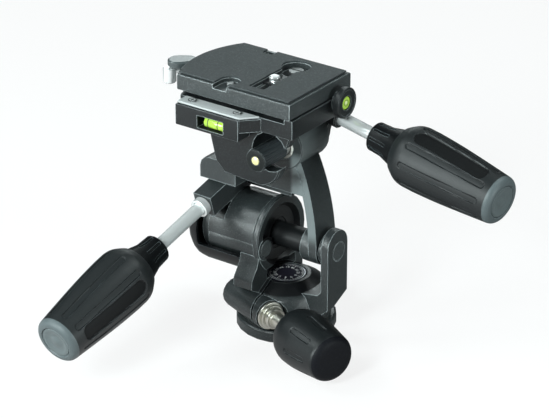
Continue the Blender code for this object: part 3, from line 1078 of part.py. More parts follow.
def make_platform(platform):
    """The platform: plate seat, level housing, lugs and handle boss in one casting."""
    bulge = PLATFORM_LEFT_CORNER - PLATFORM_LEFT
    plan = platform_outline(PLATFORM_RIGHT, PLATFORM_FRONT, PLATFORM_BACK, PLATFORM_LEFT_CORNER,
                            PLATFORM_LEFT_CORNER + bulge / 2, bulge)
    body = soften(prism(plan, PLATFORM_BOTTOM, PLATFORM_TOP), PLATE_EDGE)
    casting = add_piece("platform", body, platform, "casting")
    back = PLATFORM_FRONT + OVERRUN
    slope = LEVEL_SLANT / (PLATFORM_FRONT - LEVEL_FRONT)
    plan = [(LEVEL_LEFT, back), (LEVEL_LEFT, LEVEL_FRONT), (LEVEL_RIGHT, LEVEL_FRONT), (LEVEL_RIGHT, back)]
    housing = add_tool("level_housing", soften(prism(plan, LEVEL_BOTTOM, LEVEL_TOP), PLATE_EDGE))
    wing = [(LEVEL_LEFT / 2, back), (LEVEL_LEFT / 2, LEVEL_FRONT + PLATE_EDGE),
            (LEVEL_RIGHT - FIT, LEVEL_FRONT + PLATE_EDGE),
            (LEVEL_RIGHT + slope * (back - LEVEL_FRONT), back)]
    combine(housing, add_tool("level_wing", prism(wing, PLATFORM_BOTTOM + FIT, LEVEL_TOP - FIT)), "UNION")
    corner = [(LEVEL_LEFT - OVERRUN, LEVEL_BOTTOM - OVERRUN),
              (LEVEL_LEFT + LEVEL_CHAMFER, LEVEL_BOTTOM - OVERRUN),
              (LEVEL_LEFT - OVERRUN, LEVEL_BOTTOM + LEVEL_CHAMFER)]
    cut(housing, "level_corner", prism(corner, LEVEL_FRONT - OVERRUN, PLATFORM_FRONT + 2 * OVERRUN, "Y"))
    combine(casting, housing, "UNION")
    drop = SIDE_AXIS_HEIGHT - LUG_RADIUS
    rim = arc((SIDE_AXIS_X, SIDE_AXIS_HEIGHT), LUG_RADIUS, LUG_RIM_START, LUG_RIM_END, 12)
    lug = [(LUG_LEFT - ARM_THICKNESS / 2, PLATFORM_BOTTOM + OVERRUN),
           (LUG_LEFT, SIDE_AXIS_HEIGHT + ARM_THICKNESS),
           (LUG_LEFT * LUG_LEFT_SHARES[0], SIDE_AXIS_HEIGHT - LUG_RADIUS / 2),
           (LUG_LEFT * LUG_LEFT_SHARES[1], drop + LUG_RADIUS / 10)] + rim
    lug += [(PLATFORM_RIGHT * LUG_RIGHT_SHARES[0], PLATFORM_BOTTOM - ARM_THICKNESS),
            (PLATFORM_RIGHT * LUG_RIGHT_SHARES[1], PLATFORM_BOTTOM + OVERRUN)]
    front_lug = soften(prism(lug, LUG_FRONT, LUG_FRONT + LUG_THICKNESS, "Y"), PLATE_EDGE, 1, 1)
    fuse(casting, "front_lug", front_lug)
    fuse(casting, "lug_boss", box((SIDE_AXIS_X - LUG_RADIUS, LUG_FRONT + LUG_THICKNESS - OVERRUN,
                                   SIDE_AXIS_HEIGHT - LUG_BOSS_DROP),
                                  (SIDE_AXIS_X, LUG_BOSS_BACK, PLATFORM_BOTTOM + OVERRUN)))
    scoop = cylinder(SCOOP_RADIUS, LUG_FRONT - OVERRUN, LUG_BOSS_BACK + OVERRUN, MEDIUM)
    cut(casting, "knob_scoop", scoop, along(Vector((SCOOP_X, 0, SCOOP_Z)), Y_AXIS))
    rear = arc((SIDE_AXIS_X, SIDE_AXIS_HEIGHT), REAR_LUG_RADIUS, math.pi, TURN, 14)
    rear += [(SIDE_AXIS_X + REAR_LUG_RADIUS * 1.5, PLATFORM_BOTTOM + OVERRUN),
             (SIDE_AXIS_X - REAR_LUG_RADIUS * 1.5, PLATFORM_BOTTOM + OVERRUN)]
    fuse(casting, "rear_lug", prism(rear, REAR_LUG_FRONT, REAR_LUG_FRONT + REAR_LUG_THICKNESS, "Y"))
    fuse(casting, "rod_boss", cylinder(ROD_BOSS_RADIUS, 0, ROD_BOSS_END, MEDIUM, 0, PLATE_EDGE),
         along(SIDE_HANDLE_ORIGIN, SIDE_DIRECTION))
    relief = cylinder(SIDE_BARREL_RADIUS + FIT, LUG_BOSS_BACK, REAR_LUG_FRONT)
    cut(casting, "barrel_relief", relief, y_frame())
    pocket = rounded([(POCKET_LEFT, POCKET_FRONT), (POCKET_RIGHT, POCKET_FRONT),
                      (POCKET_RIGHT, POCKET_BACK), (POCKET_LEFT, POCKET_BACK)], PAD_INSET)
    cut(casting, "plate_pocket", prism(pocket, POCKET_FLOOR, PLATFORM_TOP + OVERRUN))
    strip = box((PLATFORM_LEFT - OVERRUN, PLATFORM_FRONT - OVERRUN, POCKET_FLOOR),
                (POCKET_RIGHT, POCKET_FRONT + OVERRUN, PLATFORM_TOP + OVERRUN))
    cut(casting, "front_gap", strip)
    reach = LEVER_HUB_RADIUS + 2 * FIT
    pivot, pad = (LEVER_PIVOT_X, LEVER_PIVOT_Y), (LEVER_TIP_X, LEVER_TIP_Y)
    sweep = link_outline(pivot, reach, (LEVER_TIP_X - LEVER_HUB_RADIUS, LEVER_TIP_Y + 4 * LEVER_HUB_RADIUS),
                         LEVER_PAD_RADIUS * 2)
    recess = add_tool("lever_recess", prism(sweep, LEVER_BOTTOM - FIT, PLATFORM_TOP + OVERRUN))
    rest = link_outline(pivot, reach, pad, LEVER_PAD_RADIUS + FIT)
    combine(recess, add_tool("lever_rest", prism(rest, LEVER_BOTTOM - FIT, PLATFORM_TOP + OVERRUN)), "UNION")
    combine(casting, recess, "DIFFERENCE")
    window = box((WINDOW_LEFT, LEVEL_FRONT - OVERRUN, WINDOW_BOTTOM),
                 (WINDOW_RIGHT, LEVEL_FRONT + WINDOW_DEPTH, WINDOW_TOP))
    cut(casting, "level_window", window)
    seat = [(0, LUG_FRONT - OVERRUN), (SELECTOR_RADIUS + FIT, LUG_FRONT - OVERRUN),
            (SELECTOR_RADIUS + FIT, SELECTOR_SEAT), (SIDE_AXLE_RADIUS + FIT, SELECTOR_SEAT),
            (SIDE_AXLE_RADIUS + FIT, SIDE_BARREL_FRONT), (0, SIDE_BARREL_FRONT)]
    cut(casting, "front_axle_bore", turned(seat, MEDIUM), y_frame())
    cut(casting, "rear_axle_bore", cylinder(SIDE_AXLE_RADIUS + FIT, REAR_LUG_FRONT - OVERRUN,
                                            REAR_LUG_FRONT + REAR_LUG_THICKNESS + OVERRUN, MEDIUM), y_frame())
    cut_shoe_pocket(casting, "side", SIDE_HANDLE_ORIGIN, SIDE_DIRECTION, SIDE_ORIGIN, Y_AXIS,
                    SIDE_BARREL_RADIUS, ROD_BOSS_END)
    pin_bore = cylinder(LEVER_PIN_RADIUS + FIT, PLATFORM_BOTTOM - OVERRUN, LEVER_TOP, COARSE)
    cut(casting, "lever_pin_bore", pin_bore, Matrix.Translation((LEVER_PIVOT_X, LEVER_PIVOT_Y, 0)))


def make_platform_fittings(platform, tilt):
    """Axle, spring, shoe and both levels of the platform, and the bearings of the axle in the tilt frame."""
    axle_back = REAR_LUG_FRONT + REAR_LUG_THICKNESS
    stem_hole = SELECTOR_STEM + FIT
    axle = turned([(0, SELECTOR_SEAT + SELECTOR_STEM_LENGTH),
                   (stem_hole, SELECTOR_SEAT + SELECTOR_STEM_LENGTH),
                   (stem_hole, SELECTOR_SEAT + FIT), (SIDE_AXLE_RADIUS, SELECTOR_SEAT + FIT),
                   (SIDE_AXLE_RADIUS, axle_back), (0, axle_back)], MEDIUM)
    add_piece("side_axle", axle, platform, "steel", y_frame())
    inner = SIDE_AXLE_RADIUS + RUNNING_FIT
    for name, front in (("side_bearing_front", SIDE_BARREL_FRONT + FIT),
                        ("side_bearing_rear", SIDE_BARREL_BACK - BEARING_LENGTH + FIT)):
        ring = tube(inner, SIDE_BEARING_RADIUS, front, front + BEARING_LENGTH - 2 * FIT, COARSE)
        add_piece(name, ring, tilt, "liner", y_frame())
    wire = (SIDE_SPRING_BORE - SIDE_AXLE_RADIUS) / 6
    spring = coil((SIDE_SPRING_BORE + SIDE_AXLE_RADIUS) / 2, wire,
                  SIDE_BARREL_FRONT + BEARING_LENGTH + FIT, SIDE_BARREL_BACK - BEARING_LENGTH - FIT)
    add_piece("side_spring", spring, platform, "steel", y_frame())
    make_shoe("side_brake_shoe", platform, SIDE_HANDLE_ORIGIN, SIDE_DIRECTION, SIDE_ORIGIN, Y_AXIS,
              SIDE_BARREL_RADIUS)
    front = LEVEL_FRONT + PLATE_EDGE
    back = PLATFORM_FRONT - FIT
    plan = [(LEVEL_LEFT + PLATE_EDGE, back), (LEVEL_LEFT + PLATE_EDGE, front), (LEVEL_RIGHT, front),
            (LEVEL_RIGHT + LEVEL_SLANT - PLATE_EDGE, back)]
    low = LEVEL_TOP + FIT
    top = low + LEVEL_COVER_THICKNESS
    cover = add_piece("level_cover", prism(plan, low, top), platform, "level_cover")
    places = [(LEVEL_LEFT + 4 * COVER_SCREW_RADIUS, (front + back) / 2),
              (LEVEL_RIGHT - 2 * COVER_SCREW_RADIUS, (front + back) / 2)]
    for index, (x, y) in enumerate(places):
        place = Matrix.Translation((x, y, 0))
        cut(cover, "cover_hole_%d" % (index + 1), cylinder(COVER_SCREW_RADIUS / 2 + FIT, low - OVERRUN,
                                                            top + OVERRUN, COARSE), place)
        cut(bpy.data.objects["platform"], "cover_screw_bore_%d" % (index + 1),
            cylinder(COVER_SCREW_RADIUS / 2 + FIT, WINDOW_TOP + OVERLAP, top + OVERRUN, COARSE), place)
        head_low = top + FIT
        screw = turned([(0, LEVEL_TOP - OVERRUN), (COVER_SCREW_RADIUS / 2, LEVEL_TOP - OVERRUN),
                        (COVER_SCREW_RADIUS / 2, head_low), (COVER_SCREW_RADIUS, head_low),
                        (COVER_SCREW_RADIUS, head_low + COVER_SCREW_HEAD),
                        (0, head_low + COVER_SCREW_HEAD)], COARSE)
        add_piece("cover_screw_%s" % ("left", "right")[index], screw, platform, "casting", place)
    vial_y = LEVEL_FRONT + WINDOW_DEPTH - VIAL_RADIUS - FIT
    vial_z = (WINDOW_BOTTOM + WINDOW_TOP) / 2
    vial = cylinder(VIAL_RADIUS, WINDOW_LEFT + FIT, WINDOW_RIGHT - FIT, COARSE, VIAL_END_GAP, VIAL_END_GAP)
    add_piece("bar_level_vial", vial, platform, "vial", along(Vector((0, vial_y, vial_z)), X_AXIS))
    place = along(Vector((0, END_LEVEL_Y, END_LEVEL_Z)), X_AXIS)
    back = END_LEVEL_FACE - END_LEVEL_THICKNESS
    edge = DIAL_EDGE
    profile = [(0, PLATFORM_RIGHT + FIT), (END_LEVEL_STEM, PLATFORM_RIGHT + FIT), (END_LEVEL_STEM, back),
               (END_LEVEL_RADIUS - edge, back), (END_LEVEL_RADIUS, back + edge),
               (END_LEVEL_RADIUS, END_LEVEL_FACE - edge), (END_LEVEL_RADIUS - edge, END_LEVEL_FACE),
               (END_LEVEL_RIM, END_LEVEL_FACE), (END_LEVEL_RIM - edge / 2, END_LEVEL_FACE - edge),
               (END_WINDOW_RADIUS + FIT, END_LEVEL_FACE - edge),
               (END_WINDOW_RADIUS + FIT, END_LEVEL_FACE - edge - END_WINDOW_DEPTH),
               (0, END_LEVEL_FACE - edge - END_WINDOW_DEPTH)]
    add_piece("end_level_housing", turned(profile), platform, "casting", place)
    bubble = cylinder(END_WINDOW_RADIUS, END_LEVEL_FACE - edge - END_WINDOW_DEPTH + FIT,
                      END_LEVEL_FACE - edge - FIT, COARSE, 0, FIT)
    add_piece("end_level_vial", bubble, platform, "vial", place)


def grip_profiles(start, end):
    """Profile points of a grip's sleeve outside, from its shoulder to its tip."""
    length = end - start
    outer = []
    for share, across in GRIP_SHARES:
        outer.append((GRIP_RADIUS * across, start + length * share))
    round_size = length * GRIP_ROUND_SHARE
    for step in range(1, 5):
        angle = QUARTER * step / 5
        outer.append((GRIP_END_RADIUS - round_size * (1 - math.cos(angle)),
                      end - round_size + round_size * math.sin(angle)))
    return outer + [(GRIP_END_RADIUS - round_size, end)]


def make_handle(handle, kind, origin, direction, end, tip, collar_at, panel_turn):
    """Rod, grip core and rubber sleeve of one handle."""
    frame = along(origin, direction)
    start = end - GRIP_LENGTH
    rod_end = end - GRIP_LENGTH / 4
    rod = cylinder(ROD_RADIUS, tip, rod_end, 24, ROD_TIP_CHAMFER, ROD_TIP_CHAMFER)
    add_piece(kind + "_rod", rod, handle, "chrome", frame)
    if collar_at is not None:
        collar = tube(ROD_RADIUS + FIT, HANDLE_COLLAR_RADIUS, collar_at, collar_at + HANDLE_COLLAR_LENGTH, 24)
        add_piece(kind + "_collar", collar, handle, "chrome", frame)
    inner = ROD_RADIUS + FIT
    core_radius = GRIP_SHOULDER_RADIUS - GRIP_WALL - FIT
    neck = start - NECK_LENGTH
    core = [(inner, neck), (NECK_RADIUS - DIAL_EDGE, neck), (NECK_RADIUS, neck + DIAL_EDGE),
            (NECK_SWELL, neck + NECK_LENGTH * NECK_SWELL_SHARE), (NECK_FLARE_RADIUS, start - 2 * FIT),
            (core_radius, start - FIT), (core_radius, rod_end + GRIP_WALL), (inner, rod_end + GRIP_WALL)]
    piece = add_piece(kind + "_grip_core", turned(core, GRIP_STEPS, closed=True), handle, "cover", frame)
    ribs = [(0, neck - OVERRUN), (NECK_RADIUS - DIAL_EDGE - NECK_RIB_DEPTH, neck - OVERRUN),
            (NECK_RADIUS - NECK_RIB_DEPTH, neck + DIAL_EDGE),
            (NECK_SWELL - NECK_RIB_DEPTH, neck + NECK_LENGTH * NECK_SWELL_SHARE),
            (NECK_FLARE_RADIUS - NECK_RIB_DEPTH, start), (0, start)]
    bars = [lozenge(TURN * index / NECK_RIBS, (NECK_LENGTH * NECK_RIB_SHARES[0], NECK_RADIUS / 5),
                    neck + NECK_LENGTH * NECK_RIB_SHARES[1],
                    NECK_RADIUS / 2, NECK_FLARE_RADIUS + OVERRUN) for index in range(NECK_RIBS)]
    cut_lozenges(piece, kind + "_neck_ribs", frame, bars, ribs)
    bore = core_radius + FIT
    close = rod_end + GRIP_WALL + FIT
    profile = [(0, close), (bore, close), (bore, start)]
    profile += grip_profiles(start, end) + [(0, end - 2 * FIT)]
    sleeve = turned(profile, GRIP_STEPS)
    piece = add_piece(kind + "_grip_sleeve", sleeve, handle, "grip", frame)
    middle = start + GRIP_LENGTH * GRIP_MIDDLE_SHARE
    panel_middle = start + GRIP_LENGTH * PANEL_MIDDLE_SHARE
    reach = GRIP_RADIUS + OVERRUN
    step = (TURN - 2 * GRIP_GROOVE_ANGLE) / (GRIP_GROOVES - 1)
    bars = [lozenge(panel_turn + GRIP_GROOVE_ANGLE + step * index, (GRIP_GROOVE_LENGTH, GRIP_GROOVE_WIDTH),
                    middle, GRIP_RADIUS / 2, reach) for index in range(GRIP_GROOVES)]
    bars.append(lozenge(panel_turn, (PANEL_LENGTH, PANEL_WIDTH), panel_middle, GRIP_RADIUS / 2, reach))
    floor = sunk(grip_profiles(start, end), GRIP_GROOVE_DEPTH, 0, end)
    cut_lozenges(piece, kind + "_grip_slots", frame, bars, floor)


def make_selector(selector):
    """The spring selector knob and its dot."""
    frame = y_frame()
    back = SELECTOR_SEAT - FIT
    hole = DOT_RADIUS + FIT
    face = [(0, SELECTOR_FACE + DOT_DEPTH), (hole, SELECTOR_FACE + DOT_DEPTH), (hole, SELECTOR_FACE),
            (SELECTOR_RADIUS - DIAL_EDGE, SELECTOR_FACE), (SELECTOR_RADIUS, SELECTOR_FACE + DIAL_EDGE),
            (SELECTOR_RADIUS, back), (SELECTOR_STEM, back),
            (SELECTOR_STEM, SELECTOR_SEAT + SELECTOR_STEM_LENGTH - FIT),
            (0, SELECTOR_SEAT + SELECTOR_STEM_LENGTH - FIT)]
    add_piece("spring_selector", turned(face, MEDIUM), selector, "cover", frame)
    dot = cylinder(DOT_RADIUS, SELECTOR_FACE - FIT, SELECTOR_FACE + DOT_DEPTH - FIT, COARSE, FIT)
    add_piece("selector_dot", dot, selector, "brass", frame)


def make_plate(plate):
    """Camera plate, its rubber pad and the screw stored in it."""
    outline = platform_outline(PLATE_RIGHT, PLATE_FRONT, PLATE_BACK, PLATE_FRONT_CORNER, PLATE_BACK_CORNER,
                               PLATE_BULGE)
    body = soften(prism(outline, PLATE_BOTTOM, PLATE_PAD_SEAT), PLATE_EDGE)
    piece = add_piece("camera_plate", body, plate, "casting")
    gap = 2 * FIT
    tongue = rounded([(POCKET_LEFT + gap, POCKET_FRONT + gap), (POCKET_RIGHT - gap, POCKET_FRONT + gap),
                      (POCKET_RIGHT - gap, POCKET_BACK - gap), (POCKET_LEFT + gap, POCKET_BACK - gap)],
                     PAD_INSET)
    fuse(piece, "tongue", prism(tongue, TONGUE_BOTTOM, PLATE_BOTTOM + OVERLAP))
    channel_top = PLATE_BOTTOM + STUD_HEAD_THICKNESS + 2 * FIT
    reach = STUD_HEAD_RADIUS + FIT
    channel = box((SLOT_X - reach, SLOT_FRONT - STUD_HEAD_RADIUS + STUD_RADIUS, TONGUE_BOTTOM - OVERRUN),
                  (SLOT_X + reach, SLOT_BACK + STUD_HEAD_RADIUS - STUD_RADIUS, channel_top))
    cut(piece, "stud_channel", channel)
    slot = link_outline((SLOT_X, SLOT_FRONT + SLOT_HALF_WIDTH), SLOT_HALF_WIDTH,
                        (SLOT_X, SLOT_BACK - SLOT_HALF_WIDTH), SLOT_HALF_WIDTH)
    cut(piece, "stud_slot", prism(slot, channel_top - OVERRUN, HEIGHT + OVERRUN))
    ledge = box((SLOT_X - PAD_SLOT_HALF_WIDTH, SLOT_FRONT - OVERRUN, SLIDER_LEDGE),
                (SLOT_X + PAD_SLOT_HALF_WIDTH, WELL_Y, HEIGHT + OVERRUN))
    cut(piece, "slider_ledge", ledge)
    well = turned([(0, TONGUE_BOTTOM - OVERRUN), (STORED_SHANK_RADIUS + FIT, TONGUE_BOTTOM - OVERRUN),
                   (STORED_SHANK_RADIUS + FIT, WELL_FLOOR), (WELL_RADIUS, WELL_FLOOR),
                   (WELL_RADIUS, HEIGHT + OVERRUN), (0, HEIGHT + OVERRUN)], MEDIUM)
    cut(piece, "screw_well", well, Matrix.Translation((SLOT_X, WELL_Y, 0)))
    key = Matrix.Translation((KEY_X, KEY_Y, 0))
    cut(piece, "key_recess", cylinder(KEY_RADIUS, KEY_FLOOR, HEIGHT + OVERRUN, MEDIUM), key)
    key_slot = box((-KEY_RADIUS, -KEY_RADIUS * 2, KEY_FLOOR), (KEY_RADIUS / 2, 0, HEIGHT + OVERRUN))
    cut(piece, "key_mouth", key_slot, key)
    inset = PAD_INSET
    plan = platform_outline(PLATE_RIGHT - inset, PLATE_FRONT + inset, PLATE_BACK - inset,
                            PLATE_FRONT_CORNER + inset / 2, PLATE_BACK_CORNER + inset / 2,
                            PLATE_BULGE - inset / 2)
    pad = add_piece("plate_pad", prism(plan, PLATE_PAD_SEAT + FIT, HEIGHT), plate, "pad")
    low = PLATE_PAD_SEAT - OVERRUN
    groove = box((SLOT_X - PAD_SLOT_HALF_WIDTH, SLOT_FRONT - OVERRUN, low),
                 (SLOT_X + PAD_SLOT_HALF_WIDTH, WELL_Y, HEIGHT + OVERRUN))
    cut(pad, "pad_slot", groove)
    well = Matrix.Translation((SLOT_X, WELL_Y, 0))
    cut(pad, "pad_well", cylinder(WELL_RADIUS, low, HEIGHT + OVERRUN, MEDIUM), well)
    cut(pad, "pad_key", cylinder(KEY_RADIUS, low, HEIGHT + OVERRUN, MEDIUM), key)
    mouth = box((-KEY_RADIUS, -KEY_RADIUS * 2, low), (KEY_RADIUS / 2, 0, HEIGHT + OVERRUN))
    cut(pad, "pad_key_mouth", mouth, key)
    notch = box((BACK_NOTCH_X - BACK_NOTCH_HALF_WIDTH, PLATE_BACK - inset - BACK_NOTCH_DEPTH, low),
                (BACK_NOTCH_X + BACK_NOTCH_HALF_WIDTH, PLATE_BACK + OVERRUN, HEIGHT + OVERRUN))
    cut(pad, "pad_back_notch", notch)
    recess = box((BACK_NOTCH_X - BACK_NOTCH_HALF_WIDTH, PLATE_BACK - inset - BACK_NOTCH_DEPTH, KEY_FLOOR),
                 (BACK_NOTCH_X + BACK_NOTCH_HALF_WIDTH, PLATE_BACK - inset, HEIGHT + OVERRUN))
    cut(piece, "back_recess", recess)
    head_low = WELL_FLOOR + FIT
    head_top = head_low + STORED_SCREW_HEAD
    stored = turned([(0, TONGUE_BOTTOM + OVERRUN), (STORED_SHANK_RADIUS, TONGUE_BOTTOM + OVERRUN),
                     (STORED_SHANK_RADIUS, head_low), (STORED_SCREW_RADIUS, head_low),
                     (STORED_SCREW_RADIUS, head_top - FIT), (STORED_SCREW_RADIUS - FIT, head_top),
                     (0, head_top)], COARSE)
    place = Matrix.Translation((SLOT_X, WELL_Y, 0))
    screw = add_piece("stored_screw", stored, plate, "chrome", place)
    slot = box((-STORED_SCREW_RADIUS * 2, -DRIVER_SLOT_WIDTH / 2, head_top - DRIVER_SLOT_DEPTH),
               (STORED_SCREW_RADIUS * 2, DRIVER_SLOT_WIDTH / 2, head_top + OVERRUN))
    cut(screw, "driver_slot", slot, place)
    pin = cylinder(KEY_PIN_RADIUS, KEY_FLOOR + FIT, KEY_FLOOR + FIT + KEY_PIN_HEIGHT, COARSE, 0, FIT)
    add_piece("key_pin", pin, plate, "steel", key)


def make_camera_screw(slider, screw):
    """The sliding strip in the plate's slot and the camera screw that turns in it."""
    half = SLIDER_LENGTH / 2
    low = SLIDER_LEDGE + FIT
    wide = PAD_SLOT_HALF_WIDTH - FIT
    bar = box((SLOT_X - wide, STUD_Y - half, low), (SLOT_X + wide, STUD_Y + half, low + SLIDER_THICKNESS))
    strip = add_piece("slot_slider", bar, slider, "steel")
    place = Matrix.Translation((SLOT_X, STUD_Y, 0))
    cut(strip, "slider_bore", cylinder(SLIDER_BORE, low - OVERRUN, HEIGHT + OVERRUN, COARSE), place)
    head_low = PLATE_BOTTOM + FIT
    head_top = head_low + STUD_HEAD_THICKNESS
    top = HEIGHT + STUD_PROUD
    stud = turned([(0, head_low), (STUD_HEAD_RADIUS, head_low), (STUD_HEAD_RADIUS, head_top),
                   (STUD_RADIUS, head_top), (STUD_RADIUS, top - ROD_TIP_CHAMFER),
                   (STUD_RADIUS - ROD_TIP_CHAMFER, top), (0, top)], COARSE)
    add_piece("camera_screw", stud, screw, "chrome", place)


def make_lock(lever_body, platform, catch_body):
    """Lock lever with its pin and the sprung catch at its tip."""
    pivot, pad = (LEVER_PIVOT_X, LEVER_PIVOT_Y), (LEVER_PAD_X, LEVER_PAD_Y)
    tip = (LEVER_TIP_X, LEVER_TIP_Y)
    outline = link_outline(pivot, LEVER_HUB_RADIUS, tip, LEVER_TIP_RADIUS)
    lever = add_piece("lock_lever", soften(prism(outline, LEVER_BOTTOM, LEVER_TOP - FIT), PLATE_EDGE, 1),
                      lever_body, "casting")
    thumb = link_outline(tip, LEVER_TIP_RADIUS, pad, LEVER_PAD_RADIUS)
    fuse(lever, "thumb_pad", soften(prism(thumb, LEVER_TOP + FIT, LEVER_PAD_TOP), PLATE_EDGE, 1))
    riser = cylinder(LEVER_TIP_RADIUS - PLATE_EDGE, LEVER_BOTTOM + OVERLAP, LEVER_TOP + 2 * OVERLAP, COARSE)
    fuse(lever, "thumb_riser", riser, Matrix.Translation((*tip, 0)))
    bore = cylinder(LEVER_PIN_RADIUS + RUNNING_FIT, LEVER_BOTTOM - OVERRUN, LEVER_TOP + OVERRUN, COARSE)
    cut(lever, "lever_bore", bore, Matrix.Translation((*pivot, 0)))
    pin = cylinder(LEVER_PIN_RADIUS, PLATFORM_BOTTOM + FIT, LEVER_TOP - FIT, COARSE, 0, FIT)
    add_piece("lever_pin", pin, platform, "steel", Matrix.Translation((*pivot, 0)))
    way = catch_direction()
    middle_z = (LEVER_BOTTOM + LEVER_TOP - FIT) / 2
    bore = cylinder(CATCH_STEM_RADIUS + RUNNING_FIT, -CATCH_RADIUS, CATCH_STEM_LENGTH + CATCH_TRAVEL, 16)
    cut(lever, "catch_bore", bore, along(catch_place(), way))
    head = cylinder(CATCH_RADIUS, CATCH_BOTTOM - middle_z, CATCH_TOP - middle_z, COARSE, DIAL_EDGE, DIAL_EDGE)
    catch = add_piece("safety_catch", head, catch_body, "chrome", Matrix.Translation(catch_place()))
    stem = cylinder(CATCH_STEM_RADIUS, 0, CATCH_STEM_LENGTH, 16, 0, FIT)
    fuse(catch, "catch_stem", stem, along(catch_place(), way))


def catch_direction():
    """The catch is pressed toward the lever's hub."""
    return Vector((LEVER_PIVOT_X - LEVER_TIP_X, LEVER_PIVOT_Y - LEVER_TIP_Y, 0)).normalized()


def catch_place():
    """The middle of the catch at rest, off the lever's tip by its travel."""
    tip = Vector((LEVER_TIP_X, LEVER_TIP_Y, (LEVER_BOTTOM + LEVER_TOP - FIT) / 2))
    return tip - catch_direction() * (LEVER_TIP_RADIUS + CATCH_TRAVEL + CATCH_RADIUS + FIT)


def main():
    """Build every body from the base up."""
    clear_scene()
    base = add_body("base_body", Vector((0, 0, 0)))
    yoke = add_body("pan_pivot", Vector((0, 0, 0)), base)
    knob = add_body("pan_knob_pivot", CLAMP_MIDDLE, yoke)
    tilt = add_body("tilt_pivot", TILT_ORIGIN, yoke)
    tilt_handle = add_body("tilt_handle_pivot", TILT_HANDLE_ORIGIN, tilt)
    platform = add_body("side_pivot", SIDE_ORIGIN, tilt)
    side_handle = add_body("side_handle_pivot", SIDE_HANDLE_ORIGIN, platform)
    selector = add_body("selector_pivot", SIDE_ORIGIN, platform)
    lever = add_body("lever_pivot", Vector((LEVER_PIVOT_X, LEVER_PIVOT_Y, LEVER_BOTTOM)), platform)
    catch = add_body("catch_pivot", catch_place(), lever)
    plate = add_body("plate_seat", Vector((SLOT_X, 0, PLATE_BOTTOM)), platform)
    slider = add_body("slider_pivot", Vector((SLOT_X, STUD_Y, PLATE_PAD_SEAT)), plate)
    screw = add_body("camera_screw_pivot", Vector((SLOT_X, STUD_Y, PLATE_PAD_SEAT)), slider)
    make_base(base)
    make_yoke(yoke)
    make_yoke_fittings(yoke)
    make_spring_cover(yoke)
    make_pan_knob(knob)
    make_tilt_frame(tilt)
    make_tilt_fittings(tilt)
    reach, distance = closest(TILT_HANDLE_ORIGIN, TILT_DIRECTION, TILT_ORIGIN, X_AXIS)
    tip = reach + shoe_half(distance, STEP_RADIUS) + FIT
    make_handle(tilt_handle, "tilt", TILT_HANDLE_ORIGIN, TILT_DIRECTION, TILT_HANDLE_END, tip,
                BLOCK_FRONT + FIT, TILT_PANEL_TURN)
    make_platform(platform)
    make_platform_fittings(platform, tilt)
    reach, distance = closest(SIDE_HANDLE_ORIGIN, SIDE_DIRECTION, SIDE_ORIGIN, Y_AXIS)
    tip = reach + shoe_half(distance, SIDE_BARREL_RADIUS) + FIT
    make_handle(side_handle, "side", SIDE_HANDLE_ORIGIN, SIDE_DIRECTION, SIDE_HANDLE_END, tip,
                None, SIDE_PANEL_TURN)
    make_selector(selector)
    make_plate(plate)
    make_camera_screw(slider, screw)
    make_lock(lever, platform, catch)


main()
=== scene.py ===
"""Looks of the three way pan tilt head: finishes, fine pieces, studio and camera.

Everything is in metres in the frame of the CAD: the pan axis is Z and the base stands on z = 0.
"""

import math

import bmesh
import bpy
from mathutils import Matrix, Vector


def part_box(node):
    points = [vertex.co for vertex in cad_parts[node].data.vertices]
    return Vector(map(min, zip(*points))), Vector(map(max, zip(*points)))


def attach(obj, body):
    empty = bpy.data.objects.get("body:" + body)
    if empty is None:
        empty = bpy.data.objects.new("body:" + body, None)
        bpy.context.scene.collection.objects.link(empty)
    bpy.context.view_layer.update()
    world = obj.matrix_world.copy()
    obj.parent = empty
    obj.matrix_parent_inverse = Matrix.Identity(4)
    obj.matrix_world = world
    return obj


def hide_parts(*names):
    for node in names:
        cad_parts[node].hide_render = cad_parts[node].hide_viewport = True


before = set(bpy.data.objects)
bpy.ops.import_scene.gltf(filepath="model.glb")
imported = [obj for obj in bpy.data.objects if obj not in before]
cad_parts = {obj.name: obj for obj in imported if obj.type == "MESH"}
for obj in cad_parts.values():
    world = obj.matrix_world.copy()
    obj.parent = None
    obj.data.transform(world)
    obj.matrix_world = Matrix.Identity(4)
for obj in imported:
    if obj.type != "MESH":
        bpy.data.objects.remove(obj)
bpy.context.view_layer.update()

TURN = math.radians(360)
QUARTER = math.radians(90)
X_AXIS = Vector((1, 0, 0))
Y_AXIS = Vector((0, 1, 0))
Z_AXIS = Vector((0, 0, 1))

# A piece that stands in for a solid is this much smaller, so that it stays inside it
SKIN_SHRINK = 0.9985
# Edges sharper than these stay sharp, on the solids and on the fine pieces
SOLID_SHARP = math.radians(34)
PIECE_SHARP = math.radians(40)

# Handles: origin, slope and turn in degrees, where the grip ends, and its panel's turn in degrees
HANDLES = {
    "tilt": (Vector((-0.0367, 0, 0.0869)), 15.9, 2.5, 0.1672, -80),
    "side": (Vector((0, 0.0165, 0.1390)), 8.6, 5.0, 0.1466, 17.5),
}
GRIP_LENGTH = 0.0715
GRIP_RADIUS = 0.0184
GRIP_END_RADIUS = 0.0144
# Shares of the grip's length and of its radius there
GRIP_SHARES = ((0, 0.772), (0.03, 0.849), (0.08, 0.955), (0.14, 1.0), (0.24, 1.0), (0.50, 0.945),
               (0.92, 0.795))
GRIP_ROUND = GRIP_LENGTH * 0.055
GRIP_CAP_LENGTH = GRIP_LENGTH * 0.060
GRIP_GROOVES = 9
GROOVE_LENGTH = 0.0535
GROOVE_WIDTH = 0.0038
GROOVE_DEPTH = 0.0006
GROOVE_ANGLE = math.radians(27)
GROOVE_MIDDLE = 0.515
GROOVE_SOFTNESS = 0.0006
PANEL_LENGTH = 0.0500
PANEL_WIDTH = 0.0098
PANEL_DEPTH = 0.0010
PANEL_MIDDLE = 0.50

